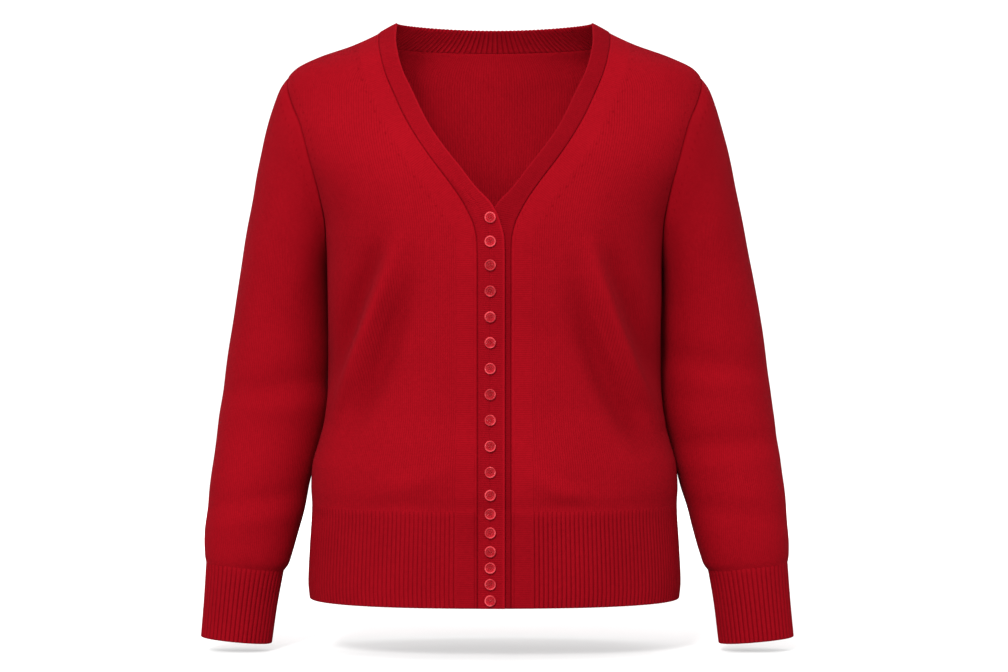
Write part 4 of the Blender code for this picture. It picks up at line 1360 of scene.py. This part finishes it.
def button_finish():
    """Moulded gloss with faint swirls under a clear skin, and a rim made paler as a painted highlight."""
    finish = Finish("button_gloss")
    # A paler rim in the colour, as a painted highlight.
    rim = finish.ramp(finish.layout("disc")[0], *BUTTON_HIGHLIGHT_AT)
    swirl = finish.speckle(*SWIRL)
    cloud = finish.speckle(*CLOUD)
    share = finish.ramp(finish.weighed((swirl, cloud), (0.5, 0.5)), 0.35, 0.65)
    rim = finish.times(rim, finish.ramp(cloud, *BUTTON_HIGHLIGHT_CLOUDS))
    face = finish.blend(share, BUTTON_DARK, BUTTON_FACE)
    finish.surface(finish.blend(rim, face, BUTTON_RIM_HIGHLIGHT), finish.ramp(swirl, *BUTTON_ROUGH),
                   Coat_Weight=0.25, Coat_Roughness=0.06, Specular_IOR_Level=0.15)
    finish.bump(cloud, 0.03 * MM, 0.2)
    return finish.material


def thread_finish():
    finish = Finish("button_thread")
    twist = finish.speckle(*TWIST)
    finish.surface(finish.blend(twist, THREAD_DARK, THREAD), finish.ramp(twist, *THREAD_ROUGH),
                   Sheen_Weight=0.1)
    finish.bump(twist, 0.1 * MM, 0.6)
    return finish.material


def floor_finish():
    finish = Finish("pale_floor")
    grain = finish.speckle(*GRAIN)
    finish.surface(finish.blend(grain, FLOOR_DARK, FLOOR_PALE), finish.ramp(grain, *FLOOR_ROUGH),
                   Specular_IOR_Level=0.05, Emission_Color=(1.0, 1.0, 1.0, 1.0), Emission_Strength=FLOOR_GLOW)
    return finish.material


# --- Stage ---
FLOOR = -645 * MM
FLOOR_RADIUS = 12.0
FLOOR_SIDES = 96
CAMERA_PLACE = (0.0098, -3.8, -0.2)
CAMERA_LENS = 131.75
CAMERA_PITCH = math.atan(118 / 3689)
# The air's light by height of the direction: where the walls' white begins and
# ends, and the ceiling begins, and how bright it is below, above and overhead.
WALLS_BEGIN = (-0.3, -0.12)
WALLS_END = (0.10, 0.22)
CEILING_BEGINS = (0.5, 0.85)
AIR_LOW = 0.2
AIR_HIGH = 0.16
CEILING = 1.05
# Light from far away: degrees to the viewer's right of the front, and up, power
# and softness in degrees.
FAR_DISTANCE = 3.0
FAR_LIGHTS = (
    ("key_light", -16, 36, 1.6, 12),
    ("front_light", 3, 9, 0.75, 14),
)
# Soft boxes: place, aim, size and power, and whether they show on what is glossy.
SOFT_BOXES = (
    ("upper_box", (-0.3, -1.3, 0.12), (0, -0.1, -0.12), (0.6, 0.5), 7.5, False),
    ("neck_box", (-0.035, -0.03, -0.11), (0, 0.09, 0.03), (0.08, 0.06), 0.095, False),
    ("back_box", (-0.3, 1.9, 0.25), (0, 0.1, -0.3), (1.4, 1.1), 24, False),
    ("left_box", (-1.9, -0.9, -0.25), (0, 0, -0.3), (0.12, 0.9), 5, True),
    ("right_box", (1.9, -0.9, -0.25), (0, 0, -0.3), (0.12, 0.9), 7, True),
)


def make_floor():
    """A wide pale floor just under the cuffs."""
    bm = bmesh.new()
    bmesh.ops.create_circle(bm, cap_ends=True, radius=FLOOR_RADIUS, segments=FLOOR_SIDES)
    bmesh.ops.translate(bm, verts=bm.verts[:], vec=(0.0, 0.0, FLOOR))
    floor = put_in_scene("floor", mesh_from("floor", bm, floor_finish()))
    floor.visible_diffuse = False


def aim_lamp(name, light, place, aim, shines):
    """Hang a lamp. One that doesn't shine leaves no highlight on what is glossy."""
    lamp = put_in_scene(name, light)
    lamp.location = place
    lamp.rotation_mode = "QUATERNION"
    lamp.rotation_quaternion = (Vector(aim) - Vector(place)).to_track_quat("-Z", "Y")
    lamp.visible_camera = False
    lamp.visible_glossy = shines


def far_light(name, azimuth, elevation, power, softness):
    turn, rise = math.radians(azimuth), math.radians(elevation)
    way = Vector((math.sin(turn) * math.cos(rise), -math.cos(turn) * math.cos(rise), math.sin(rise)))
    light = bpy.data.lights.new(name, "SUN")
    light.energy = power
    light.angle = math.radians(softness)
    aim_lamp(name, light, way * FAR_DISTANCE, (0.0, 0.0, 0.0), False)


def soft_box(name, place, aim, size, power, shines):
    light = bpy.data.lights.new(name, "AREA")
    light.shape = "RECTANGLE"
    light.size, light.size_y = size
    light.energy = power
    aim_lamp(name, light, place, aim, shines)


def make_air():
    """White all round at eye level, a bright ceiling, and grey between and below."""
    world = bpy.data.worlds.new("studio_air")
    world.use_nodes = True
    wiring = Wiring(world.node_tree)
    split = wiring.node("ShaderNodeSeparateXYZ")
    wiring.feed(split.inputs[0], wiring.node("ShaderNodeTexCoord").outputs["Generated"])
    up = split.outputs["Z"]
    walls = wiring.times(wiring.ramp(up, *WALLS_BEGIN, AIR_LOW, 1.0), wiring.ramp(up, *WALLS_END, 1.0, AIR_HIGH))
    background = wiring.tree.nodes["Background"]
    wiring.feed(background.inputs["Color"], wiring.plus(walls, wiring.ramp(up, *CEILING_BEGINS, 0.0, CEILING)))
    background.inputs["Strength"].default_value = 1.0
    bpy.context.scene.world = world


def make_lights():
    for row in FAR_LIGHTS:
        far_light(*row)
    for row in SOFT_BOXES:
        soft_box(*row)
    make_air()
    bpy.context.scene.view_settings.view_transform = "Standard"
    bpy.context.scene.view_settings.look = "Medium High Contrast"


def make_camera():
    camera = bpy.data.cameras.new("camera")
    camera.lens = CAMERA_LENS
    camera.sensor_width = 36.0
    camera.clip_start = 0.05
    camera.clip_end = 60.0
    stand = put_in_scene("camera", camera)
    stand.location = CAMERA_PLACE
    stand.rotation_euler = (QUARTER - CAMERA_PITCH, 0.0, 0.0)
    bpy.context.scene.camera = stand


def main():
    wool = knit_finish("wool_knit", WOOL, WOOL_DARK_TONE_AND_SHADE, WALE, COURSE, 0.3, armhole=True)
    front_wool = knit_finish("wool_front_knit", WOOL, WOOL_DARK_TONE_AND_SHADE, WALE, COURSE, 0.3, band_edge=True, armhole=True)
    rib = knit_finish("rib_knit", SHADED_RIB_WOOL, RIB_DARK_TONE_AND_SHADE, RIB_UNIT, RIB_COURSE)
    front_rib = knit_finish("rib_front_knit", SHADED_RIB_WOOL, RIB_DARK_TONE_AND_SHADE, RIB_UNIT, RIB_COURSE, band_edge=True)
    band = knit_finish("band_knit", SHADED_RIB_WOOL, RIB_DARK_TONE_AND_SHADE, BAND_RIB_PITCH, COURSE, cross=True)
    # The under band's knit is painted darker, as the top band's shadow.
    shadowed_under_band = knit_finish("shadowed_under_band_knit", UNDER_BAND_SHADOWED, RIB_DARK_TONE_AND_SHADE, BAND_RIB_PITCH, COURSE, cross=True)
    make_back(wool)
    make_hem_back(rib)
    make_neck_band(rib)
    for side_name in SIDE_NAMES:
        make_front(side_name, front_wool)
        make_hem_front(side_name, front_rib)
        make_sleeve(side_name, wool)
        make_cuff(side_name, rib)
    make_band("right", True, band)
    make_band("left", False, shadowed_under_band)
    gloss, thread = button_finish(), thread_finish()
    for number, height in enumerate(button_heights(), start=1):
        make_button(number, height, gloss, thread)
    make_floor()
    make_lights()
    make_camera()


main()
